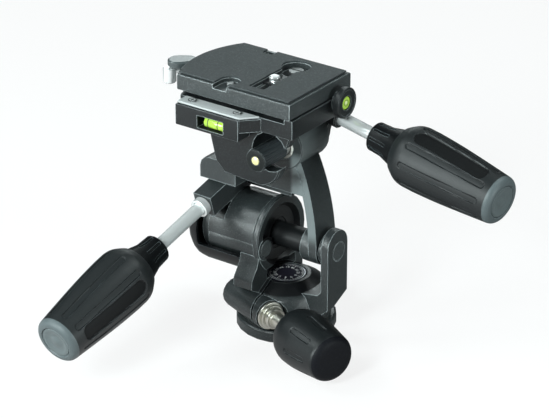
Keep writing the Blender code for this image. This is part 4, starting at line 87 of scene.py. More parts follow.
# Pan knob, its screw and its washers (height on the screw and radius)
CLAMP_ANGLE = math.radians(-21)
CLAMP_REACH = 0.0229
CLAMP_MIDDLE = Vector((CLAMP_REACH * math.sin(CLAMP_ANGLE), -CLAMP_REACH * math.cos(CLAMP_ANGLE), 0.018))
CLAMP_DIRECTION = Vector((math.cos(CLAMP_ANGLE), math.sin(CLAMP_ANGLE), 0))
KNOB_INNER = 0.0430
KNOB_LENGTH = 0.0410
KNOB_RADIUS = 0.0172
KNOB_TIP_RADIUS = 0.0146
KNOB_ROUND = KNOB_LENGTH * 0.13
KNOB_SHARES = ((0, 0.860), (0.05, 0.920), (0.14, 0.985), (0.25, 1.000), (0.42, 0.985))
KNOB_GROOVES = 8
KNOB_GROOVE = (0.0170, 0.0030, KNOB_INNER + KNOB_LENGTH * 0.56, 0.0007)
PAN_WASHERS = (("pan_washer_large", 0.0168, 0.0086), ("pan_washer_small", 0.0189, 0.0074))
WASHER_BORE = 0.0042
WASHER_THICKNESS = 0.0018
WASHER_EASE = 0.0004

# Axes, and where castings get painted shade and painted highlights
SIDE_AXIS = Vector((0.0045, 0, 0.120))
TILT_AXIS_HEIGHT = 0.0572
DISH_RADIUS = 0.0230
DISH_TOP = 0.0370
BARREL_REACH = 0.0150
BARREL_DISH_RADIUS = 0.0194

# Pan dial: its print stands a hair above its top
DIAL_TOP = 0.0326
PRINT_LOW = DIAL_TOP - 0.00005
PRINT_HIGH = DIAL_TOP + 0.00006
TICKS = 72
TICKS_PER_NUMBER = 6
TICK_OUTER = 0.0103
RING_RADII = (0.01085, 0.01140)
NUMBERS = 12
NUMBER_STEP = 3
NUMBER_SIZE = 0.0027
NUMBER_RADIUS = 0.0070

# Levels
LEVEL_MIDDLE = Vector((-0.02075, -0.0425, 0.1390))
LEVEL_LINES = (-0.0022, 0.0047)
LEVEL_LINE_HALF = 0.00028
LEVEL_LINE_RADII = (0.0031, 0.00327)
END_LEVEL_MIDDLE = Vector((0.0362, 0.0079, 0.1482))
END_LEVEL_DEPTH = 0.0019
END_CIRCLE_RADII = (0.0017, 0.0020)
END_CIRCLE_HEIGHTS = (0.00175, 0.00186)

# Camera screw, spring selector and cover screws
STUD_MIDDLE = Vector((-0.0005, -0.0113, 0))
STUD_RADIUS = 0.00315
STUD_PITCH = 0.00127
THREAD_DEPTH = 0.00035
THREAD_ROWS_PER_TURN = 6
SELECTOR_RADIUS = 0.0067
SELECTOR_REAR = -0.0153
FLUTES = 16
FLUTE_DEPTH = 0.00035
CROSS_LONG = 0.0013
CROSS_WIDE = 0.00022

# Studio
CAMERA_PLACE = (0.8355, -1.1675, 0.7577)
CAMERA_TARGET = Vector((-0.00577, -0.00417, 0.07417))
CAMERA_LENS = 177.44
LAMP_TARGET = Vector((0, 0, 0.08))
# Each lamp: name, place, width and height, watts
LAMPS = (
    ("left_softbox", (-0.52, -1.12, 0.38), (0.34, 0.34), 11.0),
    ("front_softbox", (0.07, -1.04, 0.69), (0.30, 0.30), 13.0),
    ("side_softbox", (-0.69, -0.53, 0.92), (0.30, 0.30), 5.0),
    ("top_softbox", (0.44, 0.48, 1.12), (0.34, 0.34), 5.5),
    ("back_softbox", (-0.69, 0.95, 0.56), (0.40, 0.30), 2.0),
    ("right_softbox", (1.25, -0.12, 0.30), (0.30, 0.30), 7.5),
)
WORLD_STRENGTH = 0.03
WORLD_OVERHEAD = 0.08
# The floor's tone for bounced light and for the camera, and its share of plain white
FLOOR_TONE = (0.26, 0.26, 0.26)
FLOOR_SEEN_TONE = (0.90, 0.90, 0.90)
FLOOR_WHITE = 0.80
FLOOR_GLOW = 1.0


def body_frame(origin, direction):
    """A frame at origin with its Z along direction and its X leaning up."""
    z = direction.normalized()
    x = (Z_AXIS - z * Z_AXIS.dot(z)).normalized()
    place = Matrix((x, z.cross(x), z)).transposed().to_4x4()
    place.translation = origin
    return place


def handle_direction(kind, slope, turn):
    """Where a handle points: the front one to -Y, the side one to +X, both down a little."""
    slope, turn = math.radians(slope), math.radians(turn)
    along, across = math.cos(slope) * math.cos(turn), math.cos(slope) * math.sin(turn)
    if kind == "tilt":
        return Vector((-across, -along, -math.sin(slope)))
    return Vector((along, -across, -math.sin(slope)))


# --- Shader groups ---

def new_group(name, inputs, outputs):
    """An empty shader group with float inputs and the outputs asked for."""
    group = bpy.data.node_groups.new(name, "ShaderNodeTree")
    for label, value in inputs:
        socket = group.interface.new_socket(label, in_out="INPUT", socket_type="NodeSocketFloat")
        socket.default_value = value
    for label in outputs:
        group.interface.new_socket(label, in_out="OUTPUT", socket_type="NodeSocketFloat")
    return group, group.nodes.new("NodeGroupInput"), group.nodes.new("NodeGroupOutput")


def feed(tree, socket, value):
    """Give an input its value: a number, a colour or the socket of another node."""
    if isinstance(value, bpy.types.NodeSocket):
        tree.links.new(value, socket)
    else:
        socket.default_value = (*value, 1) if isinstance(value, tuple) else value


def maths(tree, operation, first, second=None, clamp=False):
    """A Math node; each operand is a socket or a number."""
    node = tree.nodes.new("ShaderNodeMath")
    node.operation = operation
    node.use_clamp = clamp
    feed(tree, node.inputs[0], first)
    if second is not None:
        feed(tree, node.inputs[1], second)
    return node.outputs[0]


def step_range(tree, value, low, high):
    """Map low..high of a value to 0..1 smoothly."""
    node = tree.nodes.new("ShaderNodeMapRange")
    node.interpolation_type = "SMOOTHSTEP"
    tree.links.new(value, node.inputs["Value"])
    node.inputs["From Min"].default_value = low
    node.inputs["From Max"].default_value = high
    return node.outputs["Result"]


def noise(tree, scale, detail=2.0, roughness=0.5, stretch=None):
    """Noise in the object's own metres."""
    place = tree.nodes.new("ShaderNodeTexCoord").outputs["Object"]
    if stretch is not None:
        mapping = tree.nodes.new("ShaderNodeMapping")
        mapping.inputs["Scale"].default_value = stretch
        tree.links.new(place, mapping.inputs["Vector"])
        place = mapping.outputs["Vector"]
    node = tree.nodes.new("ShaderNodeTexNoise")
    tree.links.new(place, node.inputs["Vector"])
    feed(tree, node.inputs["Scale"], scale)
    node.inputs["Detail"].default_value = detail
    node.inputs["Roughness"].default_value = roughness
    return node.outputs["Fac"]


def split_axes(tree, socket):
    """The X, Y and Z of a vector socket, by name."""
    split = tree.nodes.new("ShaderNodeSeparateXYZ")
    tree.links.new(socket, split.inputs[0])
    return split.outputs


def make_grain_group():
    """Pebbled grain of textured paint and moulded rubber: a height and a speckle."""
    group, given, result = new_group("pebble_grain", [("Scale", 1500.0), ("Softness", 0.5)],
                                     ["Height", "Speckle"])
    place = group.nodes.new("ShaderNodeTexCoord").outputs["Object"]
    cells = group.nodes.new("ShaderNodeTexVoronoi")
    cells.feature = "SMOOTH_F1"
    group.links.new(place, cells.inputs["Vector"])
    group.links.new(given.outputs["Scale"], cells.inputs["Scale"])
    group.links.new(given.outputs["Softness"], cells.inputs["Smoothness"])
    fine = noise(group, maths(group, "MULTIPLY", given.outputs["Scale"], 0.8), 3.0, 0.6)
    height = maths(group, "ADD", maths(group, "MULTIPLY", cells.outputs["Distance"], 0.6),
                   maths(group, "MULTIPLY", fine, 0.4))
    group.links.new(height, result.inputs["Height"])
    group.links.new(step_range(group, fine, 0.52, 0.70), result.inputs["Speckle"])
    return group


def make_edge_group():
    """Where the surface turns over an edge, broken up by noise: paint wear and painted catch lights."""
    group, given, result = new_group("edge_wear_and_highlights", [("Radius", 0.0005), ("Break", 0.5)], ["Mask"])
    round_over = group.nodes.new("ShaderNodeBevel")
    round_over.samples = 6
    group.links.new(given.outputs["Radius"], round_over.inputs["Radius"])
    turn = group.nodes.new("ShaderNodeVectorMath")
    turn.operation = "DOT_PRODUCT"
    group.links.new(round_over.outputs["Normal"], turn.inputs[0])
    group.links.new(group.nodes.new("ShaderNodeNewGeometry").outputs["Normal"], turn.inputs[1])
    edge = step_range(group, maths(group, "SUBTRACT", 1.0, turn.outputs["Value"]), 0.02, 0.16)
    patch = step_range(group, noise(group, 260.0, 4.0, 0.65), 0.30, 0.62)
    keep = maths(group, "SUBTRACT", 1.0, given.outputs["Break"])
    spread = maths(group, "ADD", keep, maths(group, "MULTIPLY", patch, given.outputs["Break"]), True)
    group.links.new(maths(group, "MULTIPLY", edge, spread, True), result.inputs["Mask"])
    return group


def make_smudge_group():
    """Handling marks: broad patches with fine scuffs, for the roughness."""
    group, given, result = new_group("handling_marks", [("Base", 0.4), ("Spread", 0.1)], ["Roughness"])
    broad = noise(group, 38.0, 3.0, 0.55)
    scuff = noise(group, 900.0, 2.0, 0.6, (1.0, 0.12, 0.35))
    both = maths(group, "ADD", maths(group, "MULTIPLY", broad, 0.7), maths(group, "MULTIPLY", scuff, 0.3))
    spread = maths(group, "MULTIPLY", maths(group, "SUBTRACT", both, 0.5), given.outputs["Spread"])
    group.links.new(maths(group, "ADD", given.outputs["Base"], spread, True), result.inputs["Roughness"])
    return group


def make_dust_group():
    """A little dust on what faces up, thin and patchy."""
    group, given, result = new_group("settled_dust", [("Amount", 0.2)], ["Mask"])
    way = split_axes(group, group.nodes.new("ShaderNodeNewGeometry").outputs["Normal"])
    up = step_range(group, way["Z"], 0.35, 0.98)
    patch = step_range(group, noise(group, 420.0, 5.0, 0.7), 0.46, 0.74)
    mask = maths(group, "MULTIPLY", maths(group, "MULTIPLY", up, patch), given.outputs["Amount"], True)
    group.links.new(mask, result.inputs["Mask"])
    return group


def part_mask(name):
    """A mask group with the axes of the place and of the way a casting's surface faces."""
    group, _, result = new_group(name, [], ["Mask"])
    place, way = (split_axes(group, group.nodes.new("ShaderNodeTexCoord").outputs[output])
                  for output in ("Object", "Normal"))
    return group, place, way, result


def put_out(group, result, *masks):
    """Give the product of some masks out of their group."""
    whole = masks[0]
    for mask in masks[1:]:
        whole = maths(group, "MULTIPLY", whole, mask)
    group.links.new(whole, result.inputs["Mask"])
    return group


def below(group, value, limit, soft):
    """1 where a value stays under its limit, easing to 0 over the soft width."""
    return step_range(group, maths(group, "SUBTRACT", limit, value), 0.0, soft)


def reach_from(group, place, first, second):
    """Distance from an axis, given as two (axis name, place) pairs."""
    squares = [maths(group, "POWER", maths(group, "SUBTRACT", place[axis], middle), 2.0)
               for axis, middle in (first, second)]
    return maths(group, "SQRT", maths(group, "ADD", *squares))


def make_arm_edge_group():
    """The curved arm's narrow front face, lightened as a painted highlight, found by where it lies and which
    way it looks.
    """
    group, place, way, result = part_mask("arm_front_edge_painted_highlight")
    front = step_range(group, maths(group, "MULTIPLY", way["Y"], -1.0), 0.55, 0.90)
    right = step_range(group, place["X"], 0.0095, 0.0125)
    above = step_range(group, place["Z"], 0.0600, 0.0700)
    return put_out(group, result, front, right, above, below(group, place["Z"], 0.1190, 0.0060),
                   below(group, place["Y"], -0.0068, 0.0006))


def make_flank_group():
    """The side barrel's right flank, lightened as painted light from the floor, found by its distance from
    the side axis and its slope.
    """
    group, place, way, result = part_mask("side_barrel_flank_painted_highlight")
    reach = reach_from(group, place, ("X", SIDE_AXIS.x), ("Z", SIDE_AXIS.z))
    return put_out(group, result, below(group, reach, BARREL_REACH, 0.0004),
                   step_range(group, way["X"], -0.1, 0.5),
                   below(group, maths(group, "ABSOLUTE", way["Y"]), 0.25, 0.1))


def make_dial_dish_group():
    """The disc of the pan housing round the dial, darkened to near black as a painted dark reflection, found
    by its height, reach and slope.
    """
    group, place, way, result = part_mask("dial_dish_painted_shade")
    reach = reach_from(group, place, ("X", 0.0), ("Y", 0.0))
    return put_out(group, result, below(group, reach, DISH_RADIUS, 0.0006),
                   step_range(group, way["Z"], 0.55, 0.80), below(group, place["Z"], DISH_TOP, 0.0010))


def make_barrel_dish_group():
    """The inside of the tilt barrel's open end round the axle, darkened to near black as painted shade in
    that recess.
    """
    group, place, _, result = part_mask("barrel_dish_painted_shade")
    reach = reach_from(group, place, ("Y", 0.0), ("Z", TILT_AXIS_HEIGHT))
    return put_out(group, result, below(group, reach, BARREL_DISH_RADIUS, 0.0003),
                   step_range(group, place["X"], -0.0300, -0.0290), below(group, place["X"], 0.0, 0.0005))


GRAIN = make_grain_group()
EDGES = make_edge_group()
SMUDGE = make_smudge_group()
DUST = make_dust_group()
ARM_EDGE_HIGHLIGHT = make_arm_edge_group()
DIAL_DISH_SHADE = make_dial_dish_group()
BARREL_FLANK_HIGHLIGHT = make_flank_group()
BARREL_DISH_SHADE = make_barrel_dish_group()


# --- Finishes ---

def new_material(name, values):
    """A material with its node tree and its shader, whose fixed inputs are given by name."""
    made = bpy.data.materials.new(name)
    made.use_nodes = True
    shader = made.node_tree.nodes["Principled BSDF"]
    for label, value in values.items():
        shader.inputs[label].default_value = value
    return made, made.node_tree, shader


def place_group(tree, group, **values):
    """Put a group in a material with its own values."""
    node = tree.nodes.new("ShaderNodeGroup")
    node.node_tree = group
    for label, value in values.items():
        node.inputs[label].default_value = value
    return node


def blend_colour(tree, mask, first, second):
    """Mix two colours by a mask; each is a socket or a colour."""
    node = tree.nodes.new("ShaderNodeMix")
    node.data_type = "RGBA"
    tree.links.new(mask, node.inputs["Factor"])
    feed(tree, node.inputs[6], first)
    feed(tree, node.inputs[7], second)
    return node.outputs[2]


def mark_roughness(tree, shader, roughness, spread):
    """Give a shader its roughness with the handling marks in it."""
    marks = place_group(tree, SMUDGE, Base=roughness, Spread=spread)
    tree.links.new(marks.outputs["Roughness"], shader.inputs["Roughness"])


def emboss(tree, shader, height, distance):
    """Give a shader the relief of a height socket."""
    relief = tree.nodes.new("ShaderNodeBump")
    relief.inputs["Distance"].default_value = distance
    tree.links.new(height, relief.inputs["Height"])
    tree.links.new(relief.outputs["Normal"], shader.inputs["Normal"])


def finish(name, colour, roughness, grain, speck=None, edge=None, spread=0.12, dust=0.0, coat=0.0,
           specular=0.5, metallic=0.0, painted_light_and_shade=()):
    """A node material of one of the head's finishes, built from the shared groups.

    The grain is its scale and height, the edge its colour, radius and break-up (paint wear and a painted
    highlight), and each tint is a mask group and the colour it paints on the part it finds: painted shade in
    dark recesses, painted highlights on lit faces."""
    made, tree, shader = new_material(name, {
        "Metallic": metallic, "Specular IOR Level": specular, "Coat Weight": coat, "Coat Roughness": 0.25})
    scale, bump = grain
    pebbles = place_group(tree, GRAIN, Scale=scale)
    surface = blend_colour(tree, pebbles.outputs["Speckle"], colour, speck or tuple(c * 1.35 for c in colour))
    if dust:
        settled = place_group(tree, DUST, Amount=dust)
        surface = blend_colour(tree, settled.outputs["Mask"], surface, (0.32, 0.33, 0.34))
    # Edges are lightened: partly paint wear, partly a painted highlight
    if edge:
        wear_and_highlight_tone, radius, break_up = edge
        edge_wear_and_highlight = place_group(tree, EDGES, Radius=radius, Break=break_up)
        surface = blend_colour(tree, edge_wear_and_highlight.outputs["Mask"], surface, wear_and_highlight_tone)
    # Painted shade and painted highlights, each where its mask group finds it
    for group, tint in painted_light_and_shade:
        surface = blend_colour(tree, place_group(tree, group).outputs["Mask"], surface, tint)
    tree.links.new(surface, shader.inputs["Base Color"])
    mark_roughness(tree, shader, roughness, spread)
    if bump:
        emboss(tree, shader, pebbles.outputs["Height"], bump)
    return made


def brushed(name, colour, roughness, stretch, spread, line, metallic):
    """Turned or drawn bright metal: fine lines across the stretch direction."""
    made, tree, shader = new_material(name, {"Metallic": metallic})
    lines = noise(tree, 1400.0, 3.0, 0.6, stretch)
    tone = blend_colour(tree, step_range(tree, lines, 0.30, 0.75), tuple(c * 0.95 for c in colour), colour)
    tree.links.new(tone, shader.inputs["Base Color"])
    mark_roughness(tree, shader, roughness, spread)
    emboss(tree, shader, lines, line)
    return made


def glowing_level_liquid(name):
    """The clear yellow-green filling of a level, with a painted glow that stands in for light gathering in
    it, lighter and darker by noise.
    """
    # Painted light: the liquid emits a glow in its own tint
    made, tree, shader = new_material(name, {
        "Emission Strength": 0.22, "Coat Weight": 0.3, "Coat Roughness": 0.10})
    tint = blend_colour(tree, noise(tree, 240.0, 2.0), (0.20, 0.42, 0.03), (0.48, 0.66, 0.08))
    tree.links.new(tint, shader.inputs["Base Color"])
    tree.links.new(tint, shader.inputs["Emission Color"])
    mark_roughness(tree, shader, 0.12, 0.05)
    return made


PAINT_GRAIN = (2300.0, 0.000110)
RUBBER_GRAIN = (2600.0, 0.000020)
PLASTIC_GRAIN = (2000.0, 0.00002)
SHAFT_GRAIN = (2000.0, 0.00001)
PRINT_GRAIN = (3000.0, 0.0)
# Edge tone of the castings: paint wear and a painted highlight
CASTING_WEAR_AND_HIGHLIGHT = ((0.38, 0.43, 0.44), 0.00065, 0.30)


def build_finishes():
    """All the finishes of the head, by the names the pieces use."""
    made = [
        # casting_paint: painted shade darkens the dial dish and the inside of the barrel's open end to near
        # black
        finish("casting_paint", (0.0160, 0.0196, 0.0206), 0.34, PAINT_GRAIN, (0.060, 0.070, 0.072),
               CASTING_WEAR_AND_HIGHLIGHT, spread=0.14, dust=0.03,
               painted_light_and_shade=((DIAL_DISH_SHADE, (0.0030, 0.0036, 0.0044)), (BARREL_DISH_SHADE, (0.0016, 0.0020, 0.0026)))),
        # frame_paint: painted highlights lighten the arm's narrow front face and the side barrel's right
        # flank
        finish("frame_paint", (0.0220, 0.0265, 0.0275), 0.35, PAINT_GRAIN, (0.055, 0.064, 0.066),
               CASTING_WEAR_AND_HIGHLIGHT, spread=0.14, dust=0.03, specular=0.45,
               painted_light_and_shade=((ARM_EDGE_HIGHLIGHT, (0.150, 0.175, 0.178)), (BARREL_FLANK_HIGHLIGHT, (0.110, 0.128, 0.130)))),
        finish("platform_paint", (0.0060, 0.0076, 0.0084), 0.36, PAINT_GRAIN, (0.030, 0.036, 0.038),
               ((0.42, 0.47, 0.48), 0.00070, 0.25), spread=0.14, dust=0.02, specular=0.34),
        finish("plate_paint", (0.0300, 0.0355, 0.0365), 0.38, PAINT_GRAIN, (0.100, 0.113, 0.116),
               ((0.62, 0.68, 0.69), 0.00075, 0.25), dust=0.03, specular=0.45),
        finish("smooth_cover", (0.0020, 0.0025, 0.0032), 0.32, (2200.0, 0.000012), (0.007, 0.008, 0.009),
               ((0.10, 0.12, 0.13), 0.0005, 0.5), spread=0.14, specular=0.25),
        finish("grip_rubber", (0.0070, 0.0092, 0.0100), 0.48, RUBBER_GRAIN, (0.012, 0.015, 0.016),
               ((0.10, 0.12, 0.13), 0.00030, 0.20), spread=0.10, specular=0.38),
        finish("knob_rubber", (0.0055, 0.0072, 0.0080), 0.42, RUBBER_GRAIN, (0.012, 0.015, 0.016),
               ((0.12, 0.14, 0.15), 0.00030, 0.20), spread=0.10, specular=0.32),
        # Painted shade for groove walls and the wide panel's floor
        finish("groove_shade_rubber", (0.0020, 0.0026, 0.0030), 0.60, RUBBER_GRAIN, (0.005, 0.006, 0.007),
               spread=0.10, specular=0.20),
        finish("cap_rubber", (0.080, 0.099, 0.104), 0.50, RUBBER_GRAIN, (0.100, 0.122, 0.127),
               ((0.24, 0.28, 0.29), 0.0004, 0.3), dust=0.03, specular=0.45),
        finish("cap_face", (0.100, 0.122, 0.126), 0.46, RUBBER_GRAIN, (0.118, 0.142, 0.146),
               ((0.30, 0.35, 0.36), 0.0004, 0.3), specular=0.45),
        finish("knob_cap_rubber", (0.0035, 0.0040, 0.0060), 0.55, (1700.0, 0.000045), (0.008, 0.009, 0.012),
               specular=0.14),
        finish("pad_rubber", (0.030, 0.036, 0.038), 0.66, (1500.0, 0.00006), (0.070, 0.080, 0.082),
               ((0.16, 0.18, 0.18), 0.0004, 0.3), dust=0.06, specular=0.42),
        finish("neck_plastic", (0.0020, 0.0026, 0.0032), 0.40, (2400.0, 0.000010), (0.009, 0.011, 0.012),
               ((0.16, 0.19, 0.20), 0.0003, 0.3), spread=0.14, specular=0.14),
        finish("selector_face", (0.008, 0.010, 0.010), 0.42, PLASTIC_GRAIN, (0.018, 0.022, 0.022),
               ((0.22, 0.25, 0.25), 0.0003, 0.3), specular=0.22),
        finish("selector_side", (0.030, 0.036, 0.039), 0.32, PLASTIC_GRAIN, (0.040, 0.048, 0.052),
               ((0.24, 0.27, 0.28), 0.0003, 0.3), coat=0.1, specular=0.45),
        finish("dark_bearing", (0.008, 0.009, 0.010), 0.45, SHAFT_GRAIN),
        finish("dial_black", (0.010, 0.009, 0.016), 0.45, (2600.0, 0.000008), (0.015, 0.014, 0.022),
               spread=0.10, specular=0.25),
        finish("dial_white", (0.62, 0.63, 0.62), 0.50, PRINT_GRAIN, (0.66, 0.67, 0.66)),
        finish("dial_ring", (0.30, 0.31, 0.33), 0.30, PRINT_GRAIN, (0.36, 0.37, 0.39), metallic=0.6),
        finish("cover_strip", (0.42, 0.44, 0.44), 0.45, (1500.0, 0.00002), (0.48, 0.50, 0.50),
               ((0.60, 0.63, 0.63), 0.0005, 0.3)),
        finish("level_bubble", (0.85, 0.97, 0.45), 0.10, (900.0, 0.0), (0.92, 1.0, 0.60)),
        finish("level_line", (0.010, 0.010, 0.010), 0.40, (2000.0, 0.0)),
        finish("black_shaft", (0.0040, 0.0048, 0.0052), 0.46, SHAFT_GRAIN, (0.008, 0.009, 0.010),
               spread=0.10, specular=0.22),
        finish("lever_enamel", (0.050, 0.062, 0.064), 0.36, (1800.0, 0.00002), (0.080, 0.095, 0.098),
               ((0.30, 0.34, 0.34), 0.0005, 0.3), coat=0.3),
        finish("nylon_liner", (0.62, 0.61, 0.56), 0.48, (1800.0, 0.00001)),
        # Metals: colour, roughness, stretch of the lines, spread of the roughness, line height, metallic
        brushed("bright_rod", (0.95, 0.98, 0.98), 0.25, (0.10, 0.10, 0.10), 0.05, 0.0, 0.58),
        brushed("bright_chrome", (0.86, 0.88, 0.88), 0.26, (1.0, 1.0, 0.15), 0.08, 0.000002, 0.60),
        brushed("warm_nickel", (0.66, 0.65, 0.58), 0.36, (0.2, 0.2, 0.2), 0.10, 0.0, 1.0),
        brushed("screw_steel", (0.20, 0.21, 0.21), 0.40, (0.3, 0.3, 0.3), 0.10, 0.000001, 0.90),
        brushed("stud_steel", (0.55, 0.57, 0.57), 0.34, (0.3, 0.3, 0.3), 0.10, 0.000001, 0.75),
        brushed("plain_steel", (0.52, 0.53, 0.54), 0.34, (1.0, 0.2, 1.0), 0.20, 0.000004, 1.0),
        brushed("dot_brass", (0.92, 0.84, 0.42), 0.34, (1.0, 0.2, 1.0), 0.10, 0.000002, 0.35),
        brushed("screw_zinc", (0.78, 0.80, 0.80), 0.30, (1.0, 0.15, 1.0), 0.12, 0.000002, 0.60),
        glowing_level_liquid("glowing_level_liquid"),
    ]
    return {material.name: material for material in made}


NODE_FINISHES = {
    "casting_paint": "base_disc yoke_casting",
    "platform_paint": "platform end_level_housing",
    "plate_paint": "camera_plate ear_pin stop_plug",
    "frame_paint": "tilt_frame",
    "lever_enamel": "lock_lever",
    "smooth_cover": "spring_cover pan_knob_core",
    "grip_rubber": "pan_knob_cover tilt_grip_sleeve side_grip_sleeve",
    "neck_plastic": "tilt_grip_core side_grip_core",
    "pad_rubber": "plate_pad",
    "selector_side": "spring_selector",
    "dial_black": "pan_dial",
    "cover_strip": "level_cover",
    "glowing_level_liquid": "bar_level_vial end_level_vial",
    "bright_rod": "tilt_rod side_rod",
    "bright_chrome": "tilt_collar safety_catch",
    "screw_steel": "stored_screw key_pin",
    "stud_steel": "camera_screw",
    "warm_nickel": "pan_screw pan_washer_large pan_washer_small",
    "plain_steel": "thread_bush hub_circlip tilt_spring side_spring side_axle tilt_brake_shoe"
                   " side_brake_shoe lever_pin",
    "black_shaft": "tilt_axle",
    "dot_brass": "selector_dot clamp_insert",
    "screw_zinc": "cover_screw_left cover_screw_right",
    "nylon_liner": "slip_washer pan_liner arm_bush side_bearing_front side_bearing_rear",
    "dark_bearing": "barrel_bearing_left barrel_bearing_right slot_slider",
}

# Edge rounding of the solids in metres
ROUNDED = {
    0.0007: "yoke_casting tilt_frame",
    0.0005: "platform",
    0.0004: "spring_cover lock_lever",
    0.0003: "camera_plate base_disc end_level_housing level_cover safety_catch ear_pin pan_screw tilt_collar",
    0.0002: "plate_pad spring_selector stop_plug slot_slider",
}


def make_smoother():
    """A node group that welds a solid's facets and shades it smooth, but for its real edges."""
    group = bpy.data.node_groups.new("weld_and_smooth", "GeometryNodeTree")
    for way in ("INPUT", "OUTPUT"):
        group.interface.new_socket("Geometry", in_out=way, socket_type="NodeSocketGeometry")
    given = group.nodes.new("NodeGroupInput")
    result = group.nodes.new("NodeGroupOutput")
    weld = group.nodes.new("GeometryNodeMergeByDistance")
    weld.inputs["Distance"].default_value = 0.00001
    plain = group.nodes.new("GeometryNodeRemoveAttribute")
    plain.inputs["Name"].default_value = "custom_normal"
    faces = group.nodes.new("GeometryNodeSetShadeSmooth")
    edges = group.nodes.new("GeometryNodeSetShadeSmooth")
    edges.domain = "EDGE"
    edges.inputs["Shade Smooth"].default_value = False
    angle = group.nodes.new("GeometryNodeInputMeshEdgeAngle")
    sharp = group.nodes.new("FunctionNodeCompare")
    sharp.operation = "GREATER_THAN"
    sharp.inputs[1].default_value = SOLID_SHARP
    chain = (given, weld, plain, faces, edges, result)
    for one, other in zip(chain, chain[1:]):
        group.links.new(one.outputs["Geometry"], other.inputs["Geometry"])
    group.links.new(angle.outputs["Unsigned Angle"], sharp.inputs[0])
    group.links.new(sharp.outputs["Result"], edges.inputs["Selection"])
    return group


def dress_solids(finishes):
    """Give every CAD node its finish, smooth shading and rounded edges."""
    smoother = make_smoother()
    widths = {name: width for width, names in ROUNDED.items() for name in names.split()}
    for label, names in NODE_FINISHES.items():
        for name in names.split():
            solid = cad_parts[name]
            solid.data.materials.clear()
            solid.data.materials.append(finishes[label])
            solid.modifiers.new("smooth", "NODES").node_group = smoother
            if name in widths:
                rounding = solid.modifiers.new("rounding", "BEVEL")
                rounding.width = widths[name]
                rounding.segments = 2
                rounding.limit_method = "ANGLE"
                rounding.angle_limit = SOLID_SHARP
            solid.modifiers.new("flat_faces", "WEIGHTED_NORMAL").keep_sharp = True


# --- Fine pieces ---

def show(name, data):
    """An object of the scene around a mesh, a lamp or a camera."""
    item = bpy.data.objects.new(name, data)
    bpy.context.scene.collection.objects.link(item)
    return item


def mesh_of(name, shape):
    """The mesh of a shape, which is freed."""
    mesh = bpy.data.meshes.new(name)
    shape.to_mesh(mesh)
    shape.free()
    return mesh


def add_mesh(name, shape, place, body, material, smooth=True):
    """Turn the shape into a piece at its place that rides on a body."""
    bmesh.ops.recalc_face_normals(shape, faces=shape.faces)
    shape.transform(place)
    mesh = mesh_of(name, shape)
    if smooth:
        mesh.shade_smooth()
        mesh.set_sharp_from_angle(angle=PIECE_SHARP)
    mesh.materials.append(material)
    piece = show(name, mesh)
    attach(piece, body)
    return piece


def absorb(shape, extra):
    """Add another shape to this one and free it."""
    mesh = mesh_of("part", extra)
    shape.from_mesh(mesh)
    bpy.data.meshes.remove(mesh)


def polar(radius, angle, height):
    """A point at a radius and an angle about Z."""
    return radius * math.cos(angle), radius * math.sin(angle), height


def ring_at(shape, reaches, height):
    """A ring of vertices about Z, each at its own reach."""
    return [shape.verts.new(polar(reach, TURN * step / len(reaches), height))
            for step, reach in enumerate(reaches)]


def ring_of(shape, radius, height, steps):
    """A round ring of vertices about Z, or the one vertex on the axis."""
    return ring_at(shape, [radius] * steps, height) if radius > 0 else [shape.verts.new((0, 0, height))]


def bridge(shape, rings, steps, closed=False):
    """Join each ring to the next with faces, given back with the number of their ring and step."""
    pairs = list(zip(rings, rings[1:]))
    if closed:
        pairs.append((rings[-1], rings[0]))
    made = []
    for row, (low, high) in enumerate(pairs):
        for step in range(steps):
            after = (step + 1) % steps
            corners = dict.fromkeys((low[step % len(low)], low[after % len(low)],
                                     high[after % len(high)], high[step % len(high)]))
            if len(corners) > 2:
                made.append((row, step, shape.faces.new(list(corners))))
    return made


def close_ends(shape, rings):
    """Close the last and the first ring with a face each."""
    shape.faces.new(rings[-1])
    shape.faces.new(list(reversed(rings[0])))


def turned(points, steps=64, closed=False):
    """Revolve (radius, height) points about Z."""
    shape = bmesh.new()
    bridge(shape, [ring_of(shape, radius, height, steps) for radius, height in points], steps, closed)
    return shape


def square_ring(inner, outer, low, high, steps):
    """A flat ring with a rectangular section."""
    return turned([(inner, low), (outer, low), (outer, high), (inner, high)], steps, True)


def prism(shape, corners, low, high):
    """A straight block between two heights over the corners of a flat outline."""
    lower = [shape.verts.new((x, y, low)) for x, y in corners]
    upper = [shape.verts.new((x, y, high)) for x, y in corners]
    close_ends(shape, (lower, upper))
    for one in range(len(corners)):
        other = (one + 1) % len(corners)
        shape.faces.new((lower[one], lower[other], upper[other], upper[one]))


def eased(points, height):
    """The radius at a height on a curve that passes smoothly through the profile points."""
    for index in range(len(points) - 1):
        (r0, h0), (r1, h1) = points[index], points[index + 1]
        if h0 <= height <= h1:
            before, after = points[max(index - 1, 0)], points[min(index + 2, len(points) - 1)]
            span = h1 - h0
            slope0 = (r1 - before[0]) / max(h1 - before[1], 1e-9)
            slope1 = (after[0] - r0) / max(after[1] - h0, 1e-9)
            t = (height - h0) / span
            value = ((2 * t ** 3 - 3 * t ** 2 + 1) * r0 + (t ** 3 - 2 * t ** 2 + t) * span * slope0
                     + (-2 * t ** 3 + 3 * t ** 2) * r1 + (t ** 3 - t ** 2) * span * slope1)
            return min(value, max(r0, r1))
    return points[-1][0]


def bar_depth(across, along_it, bar):
    """How far inside a round-ended bar a point lies, in metres; negative outside."""
    half_length, half_width = bar[1] / 2, bar[2] / 2
    turn = half_width * 0.9
    x = abs(across) - (half_width - turn)
    y = abs(along_it) - (half_length - turn)
    outside = math.hypot(max(x, 0), max(y, 0)) + min(max(x, y), 0)
    return turn - outside


